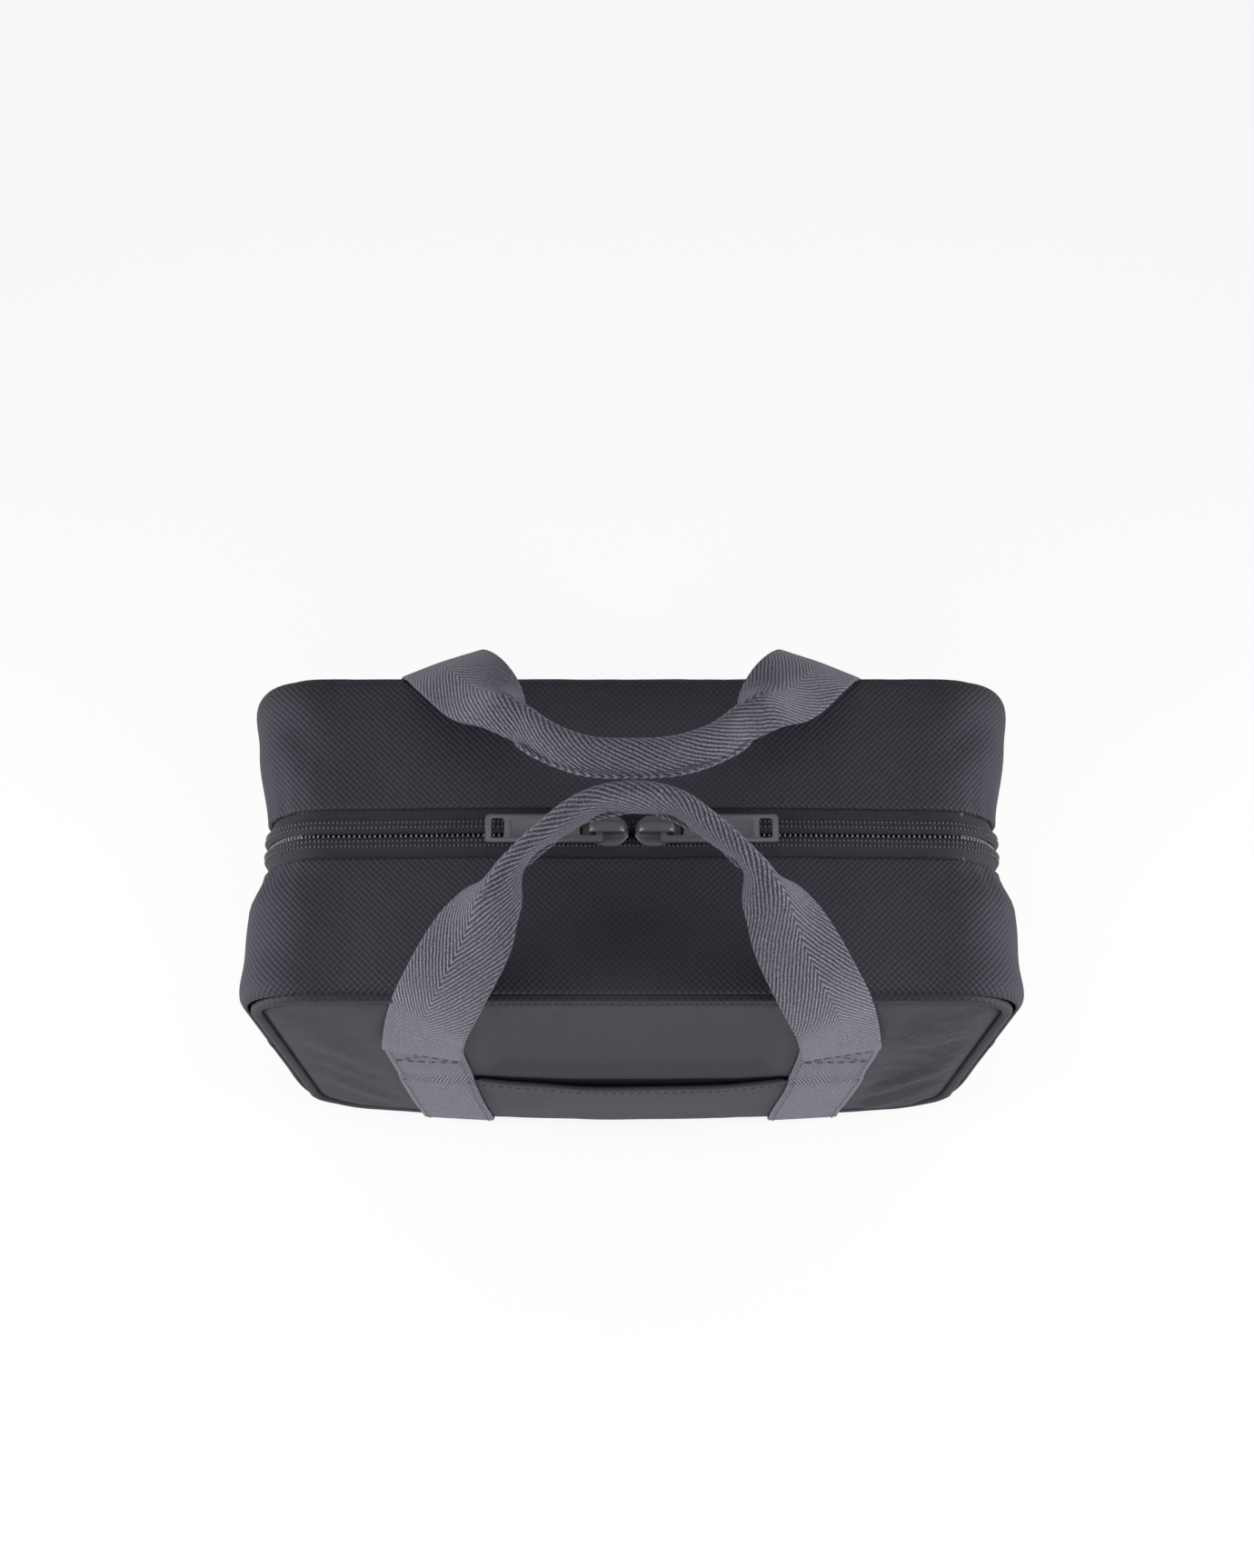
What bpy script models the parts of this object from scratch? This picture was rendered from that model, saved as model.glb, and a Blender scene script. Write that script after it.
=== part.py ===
"""Soft structured wash / shaving bag with two webbing handles, a double-slider
zip over the top and a front slip pocket.

Frame: origin at the bottom centre of the bag, on the surface it stands on.
+X is to the right seen from the front, the front faces -Y, +Z is up.
All sizes are in metres.
"""
import math
import bpy
import bmesh
from mathutils import Vector

# ----------------------------------------------------------------- dimensions
WIDTH = 0.280            # over the piping, left to right
DEPTH = 0.1232           # over the piping, front to back
HEIGHT = 0.190           # floor to the top of the piping
CORNER_R = 0.026         # corner radius of the front and back panels
GAP = 0.0003             # clearance kept between neighbouring pieces

SHELL_T = 0.0012         # coated outer fabric
LINING_T = 0.0008        # lining fabric
FOAM_T = 0.0030          # foam laminated behind the front and back panels
SIDE_FOAM_T = 0.0020     # foam behind the lower sides
BOARD_T = 0.0020         # stiffener board in the base
PIPE_R = 0.0026          # radius of the fabric-covered piping

WEB_W = 0.030            # handle webbing width
WEB_T = 0.0016           # handle webbing thickness
LEG_X = 0.0785           # distance of each sewn leg from the centre plane
FOLD_Z = 0.133           # height at which the webbing leaves the panel
GRIP_W = 0.0116          # webbing rolled into a round grip
GRIP_T = 0.0092          # thickness of the rolled grip

POCKET_HALF = 0.0805     # half width of the pocket panel, under the webbing
POCKET_INNER = 0.0588    # half width of the raised pocket bag
POCKET_TOP = 0.086       # height of the pocket mouth
POCKET_LOW = 0.0105      # lower edge of the pocket panel
POCKET_OUT = 0.0056      # how far the pocket panel stands off the panel

ZIP_SLOT = 0.0093        # half width of the gap between the two top panels
COIL_HALF = 0.0063       # half width of the coil and its tape edge
TAPE_IN = 0.0066         # inner edge of the plain tape
TAPE_OUT = 0.0165        # outer edge of the tape, under the top panel
SIDE_ZIP_LOW = 0.108     # how far down the sides the zip runs

SLIDER_LEN = 0.0165      # body length of a slider, along the zip
SLIDER_W = 0.0115        # body width of a slider
SLIDER_NOSE = 0.0012     # distance of each nose from the centre plane
TAB_LEN = 0.0420         # pull tab length
TAB_W = 0.0104           # pull tab width
TAB_T = 0.0018           # pull tab thickness

# ------------------------------------------------------------ derived heights
HW = WIDTH / 2
HD = DEPTH / 2
GUS_HW = HW - 0.0004                 # outer half width of the side panels
GUS_TOP = HEIGHT - 0.0004            # outer height of the top panels
GUS_Y = HD - 2 * PIPE_R - GAP        # half depth of sides, base and top
FLAT_X = HW - CORNER_R - 0.0004      # where the flat of the top and base ends
PANEL_HW = HW - 2 * PIPE_R - 0.0004  # half width of the front and back panels
PANEL_Y = HD - 0.0004                # outer face of the front and back panels
COIL_TOP = GUS_TOP - 0.0010
COIL_LOW = COIL_TOP - 0.0028
TAB_Z = GUS_TOP + 0.0029             # mid thickness of a pull tab lying flat
TAB_AXIS_X = 0.0115                  # bar of the pull tab under the bridge

# ------------------------------------------------------------------ cleaning
for o in list(bpy.data.objects):
    bpy.data.objects.remove(o, do_unlink=True)
for m in list(bpy.data.meshes):
    bpy.data.meshes.remove(m)


# ----------------------------------------------------------------- materials
def material(name, colour, rough, metal=0.0):
    m = bpy.data.materials.new(name)
    m.use_nodes = True
    b = m.node_tree.nodes["Principled BSDF"]
    b.inputs["Base Color"].default_value = (*colour, 1.0)
    b.inputs["Roughness"].default_value = rough
    b.inputs["Metallic"].default_value = metal
    m.diffuse_color = (*colour, 1.0)
    return m


M = {
    "shell": ((0.040, 0.039, 0.046), 0.62, 0.0),
    "pipe": ((0.036, 0.035, 0.041), 0.60, 0.0),
    "web": ((0.125, 0.122, 0.155), 0.78, 0.0),
    "tape": ((0.034, 0.032, 0.036), 0.80, 0.0),
    "coil": ((0.022, 0.021, 0.023), 0.50, 0.0),
    "metal": ((0.074, 0.072, 0.078), 0.45, 0.6),
    "lining": ((0.060, 0.060, 0.066), 0.75, 0.0),
    "foam": ((0.20, 0.20, 0.20), 0.90, 0.0),
    "board": ((0.16, 0.13, 0.10), 0.85, 0.0),
}


# ------------------------------------------------------------------- helpers
def empty(name, at):
    e = bpy.data.objects.new(name, None)
    e.empty_display_size = 0.02
    e.location = at
    bpy.context.collection.objects.link(e)
    return e


def place(name, bm, look, parent=None, origin=(0, 0, 0), smooth=True, angle=40):
    """Finish a mesh built in world coordinates as a named object whose origin
    is at `origin`, or at its parent empty."""
    bmesh.ops.recalc_face_normals(bm, faces=bm.faces)
    base = Vector(parent.location if parent else origin)
    bmesh.ops.translate(bm, vec=-base, verts=bm.verts)
    me = bpy.data.meshes.new(name)
    bm.to_mesh(me)
    bm.free()
    if smooth:
        me.shade_smooth()
        me.set_sharp_from_angle(angle=math.radians(angle))
    ob = bpy.data.objects.new(name, me)
    bpy.context.collection.objects.link(ob)
    if parent:
        ob.parent = parent
    else:
        ob.location = base
    me.materials.append(material(name + "_mat", *M[look]))
    return ob


def round_rect(hw, z0, z1, r, n=7):
    """Rounded rectangle in X and Z, anticlockwise seen from the front."""
    pts = []
    for cx, cz, a0 in ((hw - r, z1 - r, 0), (-hw + r, z1 - r, 90),
                       (-hw + r, z0 + r, 180), (hw - r, z0 + r, 270)):
        for i in range(n + 1):
            a = math.radians(a0 + 90 * i / n)
            pts.append((cx + r * math.cos(a), cz + r * math.sin(a)))
    return pts


def prism(points, axis, lo, hi):
    """Closed prism: a flat outline extruded along X, Y or Z."""
    bm = bmesh.new()
    put = {"x": lambda p, h: (h, p[0], p[1]),
           "y": lambda p, h: (p[0], h, p[1]),
           "z": lambda p, h: (p[0], p[1], h)}[axis]
    vs = [bm.verts.new(put(p, lo)) for p in points]
    f = bm.faces.new(vs)
    out = bmesh.ops.extrude_face_region(bm, geom=[f])
    moved = [g for g in out["geom"] if isinstance(g, bmesh.types.BMVert)]
    d = [0, 0, 0]
    d["xyz".index(axis)] = hi - lo
    bmesh.ops.translate(bm, vec=d, verts=moved)
    return bm


def cuboid(x0, x1, y0, y1, z0, z1):
    return prism([(x0, z0), (x1, z0), (x1, z1), (x0, z1)], "y", y0, y1)


def wall_path(off, n=7, low=None, low_arc=True):
    """The right side wall in X and Z at a depth `off` under the outer face:
    from the end of the base, round both corners, to the end of the top."""
    r = CORNER_R - off
    cx = GUS_HW - CORNER_R
    pts = []
    if low is None:
        for i in range(n + 1):
            a = math.radians(-90 + 90 * i / n)
            pts.append((cx + r * math.cos(a), CORNER_R + r * math.sin(a)))
    else:
        pts.append((GUS_HW - off, low))
    for i in range(n + 1):
        a = math.radians(90 * i / n)
        pts.append((cx + r * math.cos(a), GUS_TOP - CORNER_R + r * math.sin(a)))
    return pts


def wall_strip(sign, off, t, y0, y1, low=None):
    outer = wall_path(off, low=low)
    inner = wall_path(off + t, low=low)
    pts = [(sign * x, z) for x, z in outer + inner[::-1]]
    return prism(pts, "y", y0, y1)


def tube_ring(path, r, sides, centre_y):
    """A closed tube along a closed path in X and Z."""
    bm = bmesh.new()
    n = len(path)
    rings = []
    for i in range(n):
        p = Vector((path[i][0], path[i][1]))
        a = Vector(path[i - 1])
        b = Vector(path[(i + 1) % n])
        t = (b - a).normalized()
        out = Vector((t.y, -t.x))
        ring = []
        for k in range(sides):
            w = 2 * math.pi * (k + 0.5) / sides
            c = math.cos(w) * r
            s = math.sin(w) * r
            ring.append(bm.verts.new((p.x + out.x * c, centre_y + s, p.y + out.y * c)))
        rings.append(ring)
    for i in range(n):
        j = (i + 1) % n
        for k in range(sides):
            m = (k + 1) % sides
            bm.faces.new((rings[i][k], rings[j][k], rings[j][m], rings[i][m]))
    return bm


def ribbon(frames, width, thick):
    """Closed band through frames of (centre, width direction, normal)."""
    bm = bmesh.new()
    loops = []
    for (c, w, nrm), hw, ht in zip(frames, width, thick):
        loops.append([bm.verts.new(c + w * sx * hw + nrm * sn * ht)
                      for sx, sn in ((-1, -1), (1, -1), (1, 1), (-1, 1))])
    for a, b in zip(loops, loops[1:]):
        for k in range(4):
            m = (k + 1) % 4
            bm.faces.new((a[k], a[m], b[m], b[k]))
    bm.faces.new(loops[0])
    bm.faces.new(loops[-1])
    return bm


def bevelled(ob, w, seg=2, angle=50):
    mod = ob.modifiers.new("edge", "BEVEL")
    mod.width = w
    mod.segments = seg
    mod.limit_method = "ANGLE"
    mod.angle_limit = math.radians(angle)
    mod.harden_normals = False
    return ob


def cut(ob, cutter):
    cutter.hide_render = True
    cutter.display_type = "WIRE"
    mod = ob.modifiers.new("cut", "BOOLEAN")
    mod.operation = "DIFFERENCE"
    mod.solver = "EXACT"
    mod.object = cutter
    return ob


# ---------------------------------------------------------- panels and piping
def panel(name, side):
    ys = sorted((side * PANEL_Y, side * (PANEL_Y - SHELL_T)))
    z0 = 2 * PIPE_R + 0.0007
    out = round_rect(PANEL_HW, z0, HEIGHT - 2 * PIPE_R - 0.0004,
                     CORNER_R - 2 * PIPE_R)
    return place(name, prism(out, "y", *ys), "shell", origin=(0, side * PANEL_Y, 0))


panel("front_panel", -1)
panel("back_panel", 1)


def piping(name, side):
    path = round_rect(HW - PIPE_R, PIPE_R + 0.0003, HEIGHT - PIPE_R,
                      CORNER_R - PIPE_R, n=8)
    return place(name, tube_ring(path, PIPE_R, 8, side * (HD - PIPE_R)),
                 "pipe", origin=(0, side * (HD - PIPE_R), 0), angle=60)


piping("front_piping", -1)
piping("back_piping", 1)


def foam(name, side):
    y_out = PANEL_Y - SHELL_T - GAP
    ys = sorted((side * y_out, side * (y_out - FOAM_T)))
    out = round_rect(0.1280, 0.0100, 0.1800, 0.016, n=4)
    return place(name, prism(out, "y", *ys), "foam", origin=(0, side * y_out, 0))


foam("front_foam_pad", -1)
foam("back_foam_pad", 1)

# ------------------------------------------------------------ base and sides
base = place("base_panel", cuboid(-FLAT_X, FLAT_X, -GUS_Y, GUS_Y, 0, SHELL_T), "shell")
bz = SHELL_T + GAP
place("base_board", cuboid(-0.1100, 0.1100, -0.0530, 0.0530, bz, bz + BOARD_T), "board",
      origin=(0, 0, bz))


def side_panel(name, sign):
    ob = place(name, wall_strip(sign, 0, SHELL_T, -GUS_Y, GUS_Y), "shell",
               origin=(sign * HW, 0, 0))
    lo = min(sign * (FLAT_X - 0.01), sign * (HW + 0.01))
    hi = max(sign * (FLAT_X - 0.01), sign * (HW + 0.01))
    slot = place(name + "_slot", cuboid(lo, hi, -ZIP_SLOT, ZIP_SLOT,
                                        SIDE_ZIP_LOW, HEIGHT + 0.01), "shell")
    return cut(ob, slot)


side_panel("left_side_panel", -1)
side_panel("right_side_panel", 1)


def side_foam(name, sign):
    x_out = GUS_HW - SHELL_T - GAP
    xs = sorted((sign * x_out, sign * (x_out - SIDE_FOAM_T)))
    return place(name, cuboid(xs[0], xs[1], -0.050, 0.050, 0.0280, 0.1000), "foam",
                 origin=(sign * x_out, 0, 0))


side_foam("left_side_foam_pad", -1)
side_foam("right_side_foam_pad", 1)

# -------------------------------------------------------------------- lining
LIN_HW = GUS_HW - SHELL_T - SIDE_FOAM_T - 3 * GAP
LIN_Y = PANEL_Y - SHELL_T - GAP - FOAM_T - GAP
LIN_Z0 = bz + BOARD_T + GAP
LIN_TOP = 0.1815


def u_outline(hw, z0, top, r, n=6):
    """Inside outline: open at the top, drawn in under the rounded shoulders."""
    side = [(hw, GUS_TOP - CORNER_R), (hw - 0.0023, GUS_TOP - 0.0146), (hw - 0.0077, LIN_TOP)]
    if top > LIN_TOP:
        side.append((hw - 0.0077, top))
    pts = side + [(-x, z) for x, z in side[::-1]]
    for cx, a0 in ((-hw + r, 180), (hw - r, 270)):
        for i in range(n + 1):
            a = math.radians(a0 + 90 * i / n)
            pts.append((cx + r * math.cos(a), z0 + r + r * math.sin(a)))
    return pts


lin = place("main_lining", prism(u_outline(LIN_HW, LIN_Z0, LIN_TOP, 0.024), "y", -LIN_Y, LIN_Y),
            "lining")
hollow = place("main_lining_hollow",
               prism(u_outline(LIN_HW - LINING_T, LIN_Z0 + LINING_T, LIN_TOP + 0.02, 0.0232),
                     "y", -LIN_Y + LINING_T, LIN_Y - LINING_T), "lining")
cut(lin, hollow)

# -------------------------------------------------------------- front pocket
# The pocket panel is sewn flat down both sides, under the webbing, and along
# its lower edge, and stands off the front panel in the middle.
PKT_BACK = -(PANEL_Y + GAP)
PKT_FLAT = PKT_BACK - SHELL_T
PKT_OUT_IN = PKT_BACK - POCKET_OUT
PKT_OUT = PKT_OUT_IN - SHELL_T

bm = bmesh.new()
zs = (POCKET_LOW, POCKET_LOW + 0.006, POCKET_LOW + 0.011, POCKET_TOP)
xs = (-POCKET_HALF, -POCKET_INNER - 0.0042, -POCKET_INNER, POCKET_INNER,
      POCKET_INNER + 0.0042, POCKET_HALF)


def pocket_lift(i, j):
    """1 on the raised middle of the pocket, 0 on its sewn margins."""
    return 1.0 if i in (2, 3) and j in (2, 3) else 0.0


grid_out = [[bm.verts.new((x, PKT_FLAT - POCKET_OUT * pocket_lift(i, j), z))
             for i, x in enumerate(xs)] for j, z in enumerate(zs)]
grid_in = [[bm.verts.new((x, PKT_BACK - POCKET_OUT * pocket_lift(i, j), z))
            for i, x in enumerate(xs)] for j, z in enumerate(zs)]
for j in range(3):
    for i in range(5):
        bm.faces.new((grid_out[j][i], grid_out[j][i + 1], grid_out[j + 1][i + 1], grid_out[j + 1][i]))
        bm.faces.new((grid_in[j][i], grid_in[j + 1][i], grid_in[j + 1][i + 1], grid_in[j][i + 1]))
rim = ([(0, i) for i in range(6)] + [(j, 5) for j in range(1, 4)]
       + [(3, i) for i in range(4, -1, -1)] + [(j, 0) for j in range(2, 0, -1)])
for a, b in zip(rim, rim[1:] + rim[:1]):
    bm.faces.new((grid_out[a[0]][a[1]], grid_in[a[0]][a[1]], grid_in[b[0]][b[1]], grid_out[b[0]][b[1]]))
place("front_pocket_panel", bm, "shell", origin=(0, PKT_BACK, POCKET_LOW), smooth=False)

# Binding folded over the lip of the pocket mouth: a channel, open downwards.
BIND_T = 0.0007
BX = POCKET_INNER - 0.001
bo = PKT_OUT - GAP
bi = PKT_OUT_IN + GAP
prof = [(bo, POCKET_TOP - 0.0060), (bo, POCKET_TOP + GAP), (bi, POCKET_TOP + GAP),
        (bi, POCKET_TOP - 0.0060), (bi + BIND_T, POCKET_TOP - 0.0060),
        (bi + BIND_T, POCKET_TOP + GAP + BIND_T), (bo - BIND_T, POCKET_TOP + GAP + BIND_T),
        (bo - BIND_T, POCKET_TOP - 0.0060)]
place("pocket_mouth_binding", prism(prof, "x", -BX, BX), "pipe",
      origin=(0, bo, POCKET_TOP), smooth=False)

# ------------------------------------------------------------- sewn webbing
LEG_Y = -PKT_FLAT + GAP              # back of the webbing, off the front panel


def sewn_leg(name, side, sx):
    ys = sorted((side * LEG_Y, side * (LEG_Y + WEB_T)))
    x0 = sx * LEG_X - WEB_W / 2
    ob = place(name, cuboid(x0, x0 + WEB_W, ys[0], ys[1], 0.0062, FOLD_Z), "web",
               origin=(sx * LEG_X, side * LEG_Y, 0.0062))
    return ob


for side, label in ((-1, "front"), (1, "back")):
    sewn_leg(label + "_left_strap_leg", side, -1)
    sewn_leg(label + "_right_strap_leg", side, 1)

# ------------------------------------------------------------ free handles
# Centre line of the left half of the front handle, from the fold on the panel
# to the middle of the grip, with the direction across the webbing.
HANDLE = [  # x, y, z, across-direction, half width, half thickness
    (-0.0785, -0.0662, FOLD_Z + 0.0006, (1.00, 0.00, 0.00), WEB_W / 2, WEB_T / 2),
    (-0.0757, -0.0675, 0.1480, (0.98, -0.02, 0.16), WEB_W / 2, WEB_T / 2),
    (-0.0717, -0.0683, 0.1650, (0.97, -0.04, 0.22), WEB_W / 2, WEB_T / 2),
    (-0.0665, -0.0668, 0.1860, (0.95, -0.05, 0.28), WEB_W / 2, WEB_T / 2),
    (-0.0610, -0.0605, 0.2025, (0.90, -0.15, 0.10), WEB_W / 2, WEB_T / 2),
    (-0.0535, -0.0490, 0.2150, (0.86, -0.38, -0.14), WEB_W / 2, WEB_T / 2),
    (-0.0455, -0.0370, 0.2240, (0.78, -0.46, -0.40), WEB_W / 2 - 0.0020, WEB_T / 2 + 0.0004),
    (-0.0380, -0.0265, 0.2300, (0.56, -0.46, -0.68), 0.0100, 0.0024),
    (-0.0290, -0.0175, 0.2345, (0.34, -0.42, -0.84), 0.0072, 0.0038),
    (-0.0150, -0.0090, 0.2385, (0.10, -0.40, -0.91), GRIP_W / 2, GRIP_T / 2),
    (0.0, -0.0066, 0.2400, (0.00, -0.42, -0.91), GRIP_W / 2, GRIP_T / 2),
]


def spline(points, steps):
    """Catmull-Rom through rows of numbers."""
    out = []
    n = len(points)
    for i in range(n - 1):
        p0 = points[max(i - 1, 0)]
        p1, p2 = points[i], points[i + 1]
        p3 = points[min(i + 2, n - 1)]
        for k in range(steps):
            t = k / steps
            out.append([0.5 * (2 * b + (c - a) * t + (2 * a - 5 * b + 4 * c - d) * t * t
                               + (3 * b - a - 3 * c + d) * t ** 3)
                        for a, b, c, d in zip(p0, p1, p2, p3)])
    out.append(list(points[-1]))
    return out


def handle_frames(side):
    rows = [[x, y, z, *w, hw, ht] for x, y, z, w, hw, ht in HANDLE]
    right = [[-x, y, z, w0, -w1, -w2, hw, ht] for x, y, z, w0, w1, w2, hw, ht in rows[:-1]][::-1]
    # across-direction on the right half: mirrored in X and reversed, so that it
    # turns on from the left half without a flip
    mid = rows[-1]
    left = rows[:-1]
    path = spline(left + [mid], 3)
    frames, widths, thick = [], [], []
    half = []
    for r in path:
        half.append((Vector(r[:3]), Vector(r[3:6]).normalized(), r[6], r[7]))
    full = list(half)
    for c, w, hw, ht in half[:-1][::-1]:
        full.append((Vector((-c.x, c.y, c.z)), Vector((-w.x, w.y, w.z)), hw, ht))
    n = len(full)
    for i, (c, w, hw, ht) in enumerate(full):
        t = (full[min(i + 1, n - 1)][0] - full[max(i - 1, 0)][0]).normalized()
        if i in (0, n - 1):
            # level end faces, so that nothing reaches below the fold line
            t = Vector((0, 0, 1 if i == 0 else -1))
            w = Vector((1 if i == 0 else -1, 0, 0))
        w = (w - t * w.dot(t)).normalized()
        nrm = t.cross(w).normalized()
        if side > 0:
            c, w, nrm = (Vector((v.x, -v.y, v.z)) for v in (c, w, nrm))
        frames.append((Vector(c), Vector(w), Vector(nrm)))
        widths.append(hw)
        thick.append(ht)
    return frames, widths, thick


HINGE_Y = LEG_Y + WEB_T + 0.0028     # on the outer face of the free webbing
front_swing = empty("front_handle_axis", (0, -HINGE_Y, FOLD_Z))
back_swing = empty("back_handle_axis", (0, HINGE_Y, FOLD_Z))
place("front_handle_webbing", ribbon(*handle_frames(-1)), "web", parent=front_swing, angle=80)
place("back_handle_webbing", ribbon(*handle_frames(1)), "web", parent=back_swing, angle=80)

# ------------------------------------------------------- top panels and zip
front_flap = empty("front_flap_axis", (0, -GUS_Y, GUS_TOP))
back_flap = empty("back_flap_axis", (0, GUS_Y, GUS_TOP))
TOP_LOW = GUS_TOP - SHELL_T


def top_half(label, side, axis):
    def span(a, b):
        return sorted((side * a, side * b))
    y = span(GUS_Y, ZIP_SLOT)
    ob = place(label + "_top_panel", cuboid(-FLAT_X, FLAT_X, y[0], y[1], TOP_LOW, GUS_TOP),
               "shell", parent=axis)
    y = span(GUS_Y - 0.0010, TAPE_OUT + GAP)
    place(label + "_top_lining",
          cuboid(-FLAT_X + 0.001, FLAT_X - 0.001, y[0], y[1],
                 TOP_LOW - GAP - LINING_T, TOP_LOW - GAP), "lining", parent=axis)
    y = span(TAPE_OUT, TAPE_IN)
    place(label + "_zip_tape", cuboid(-FLAT_X, FLAT_X, y[0], y[1],
                                      TOP_LOW - GAP - 0.0009, TOP_LOW - GAP),
          "tape", parent=axis)
    # the two coils part round the slider posts at the centre
    s = side
    out = [(-FLAT_X, s * COIL_HALF), (FLAT_X, s * COIL_HALF), (FLAT_X, s * 0.0003),
           (0.0130, s * 0.0003), (0.0085, s * 0.0022), (-0.0085, s * 0.0022),
           (-0.0130, s * 0.0003), (-FLAT_X, s * 0.0003)]
    place(label + "_zip_coil", prism(out, "z", COIL_LOW, COIL_TOP), "coil", parent=axis,
          smooth=False)
    return ob


top_half("front", -1, front_flap)
top_half("back", 1, back_flap)


def side_zip(label, sign):
    tape = place(label + "_side_zip_tape",
                 wall_strip(sign, SHELL_T + GAP, 0.0009, -0.0140, 0.0140, low=SIDE_ZIP_LOW - 0.006),
                 "tape", origin=(sign * GUS_HW, 0, SIDE_ZIP_LOW))
    coil = place(label + "_side_zip_coil",
                 wall_strip(sign, 0.0001, 0.0011, -0.0042, 0.0042, low=SIDE_ZIP_LOW + 0.001),
                 "coil", origin=(sign * GUS_HW, 0, SIDE_ZIP_LOW))
    return tape, coil


side_zip("left", -1)
side_zip("right", 1)


# ------------------------------------------------------------------- sliders
def slider_outline(sign, grow=0.0):
    """Plan of a slider plate: wide rounded shoulders at the nose, narrowing to
    the tail that the closed coil leaves from."""
    x0, x1 = SLIDER_NOSE, SLIDER_NOSE + SLIDER_LEN
    w = SLIDER_W / 2
    half = [(x0, 0.0020), (x0 + 0.0012, 0.0042), (x0 + 0.0042, w), (x0 + 0.0080, w),
            (x0 + 0.0130, 0.0044), (x1 - 0.0004, 0.0040), (x1, 0.0034)]
    pts = half + [(x, -y) for x, y in half[::-1]]
    return [(sign * x, y) for x, y in pts]


TOP_PLATE = (GUS_TOP - 0.0006, GUS_TOP + 0.0008)
LOW_PLATE = (COIL_LOW - 0.0004 - 0.0013, COIL_LOW - 0.0004)


def slider(label, sign):
    ax = empty(label + "_slider_axis", (sign * SLIDER_NOSE, 0, GUS_TOP))
    out = slider_outline(sign)
    upper = place(label + "_slider_body", prism(out, "z", *TOP_PLATE), "metal", parent=ax)
    lower = place(label + "_slider_lower", prism(out, "z", *LOW_PLATE), "metal", parent=ax)
    px = SLIDER_NOSE
    post_pts = [(sign * (px + 0.0010), 0.0), (sign * (px + 0.0026), 0.0014),
                (sign * (px + 0.0056), 0.0010), (sign * (px + 0.0064), 0.0),
                (sign * (px + 0.0056), -0.0010), (sign * (px + 0.0026), -0.0014)]
    post = place(label + "_slider_post",
                 prism(post_pts, "z", LOW_PLATE[0] + 0.0004, TOP_PLATE[1] - 0.0004),
                 "metal", parent=ax)
    for extra in (lower, post):
        extra.hide_render = True
        extra.display_type = "WIRE"
        mod = upper.modifiers.new("join", "BOOLEAN")
        mod.operation = "UNION"
        mod.solver = "EXACT"
        mod.object = extra
    bevelled(upper, 0.0003, 1, 60)

    # bridge: an arch along the zip, its tail foot standing in the tab's hole
    z0 = TOP_PLATE[1] + GAP
    z1 = z0 + 0.0052
    t = 0.0013
    tail, nose = 0.0152, 0.0022
    arch = [(tail, z0), (tail, z1 - 0.0016), (tail - 0.0016, z1), (nose + 0.0022, z1),
            (nose, z1 - 0.0022), (nose, z0), (nose + t + 0.0006, z0),
            (nose + t + 0.0002, z1 - 0.0026), (nose + 0.0030, z1 - t),
            (tail - 0.0022, z1 - t), (tail - t, z1 - 0.0022), (tail - t, z0)]
    pts = [(sign * x, z) for x, z in arch]
    br = place(label + "_slider_bridge", prism(pts, "y", -0.0019, 0.0019), "metal", parent=ax,
               smooth=False)

    # pull tab: flat plate with a hole at the free end and a loop round the
    # tail foot of the bridge; its bar is the axis it flips about
    tx = empty(label + "_tab_axis", (sign * TAB_AXIS_X, 0, TAB_Z))
    tx.parent = ax
    tx.location = Vector((sign * TAB_AXIS_X, 0, TAB_Z)) - ax.location
    x_in = TAB_AXIS_X - 0.0012
    x_out = x_in + TAB_LEN

    def rounded(xa, xb, w, r, n=3):
        pts = []
        for cx, cy, a0 in ((xb - r, w - r, 0), (xa + r, w - r, 90),
                           (xa + r, -w + r, 180), (xb - r, -w + r, 270)):
            for i in range(n + 1):
                a = math.radians(a0 + 90 * i / n)
                pts.append((sign * (cx + r * math.cos(a)), cy + r * math.sin(a)))
        return pts

    def local(bm):
        bmesh.ops.translate(bm, vec=(-sign * TAB_AXIS_X, 0, -TAB_Z), verts=bm.verts)
        return bm

    def tab_piece(name, bm):
        bmesh.ops.recalc_face_normals(bm, faces=bm.faces)
        local(bm)
        me = bpy.data.meshes.new(name)
        bm.to_mesh(me)
        bm.free()
        me.shade_smooth()
        me.set_sharp_from_angle(angle=math.radians(40))
        o = bpy.data.objects.new(name, me)
        bpy.context.collection.objects.link(o)
        o.parent = tx
        me.materials.append(material(name + "_mat", *M["metal"]))
        return o

    lo, hi = TAB_Z - TAB_T / 2, TAB_Z + TAB_T / 2
    tab = tab_piece(label + "_pull_tab",
                    prism(rounded(x_in, x_out, TAB_W / 2, 0.0012), "z", lo, hi))
    hole = tab_piece(label + "_tab_hole",
                     prism(rounded(x_out - 0.0068, x_out - 0.0022, 0.0038, 0.0008), "z",
                           lo - 0.002, hi + 0.002))
    loop = tab_piece(label + "_tab_loop",
                     prism(rounded(x_in + 0.0022, x_in + 0.0082, 0.0029, 0.0010), "z",
                           lo - 0.002, hi + 0.002))
    cut(tab, hole)
    cut(tab, loop)


slider("left", -1)
slider("right", 1)
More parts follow.
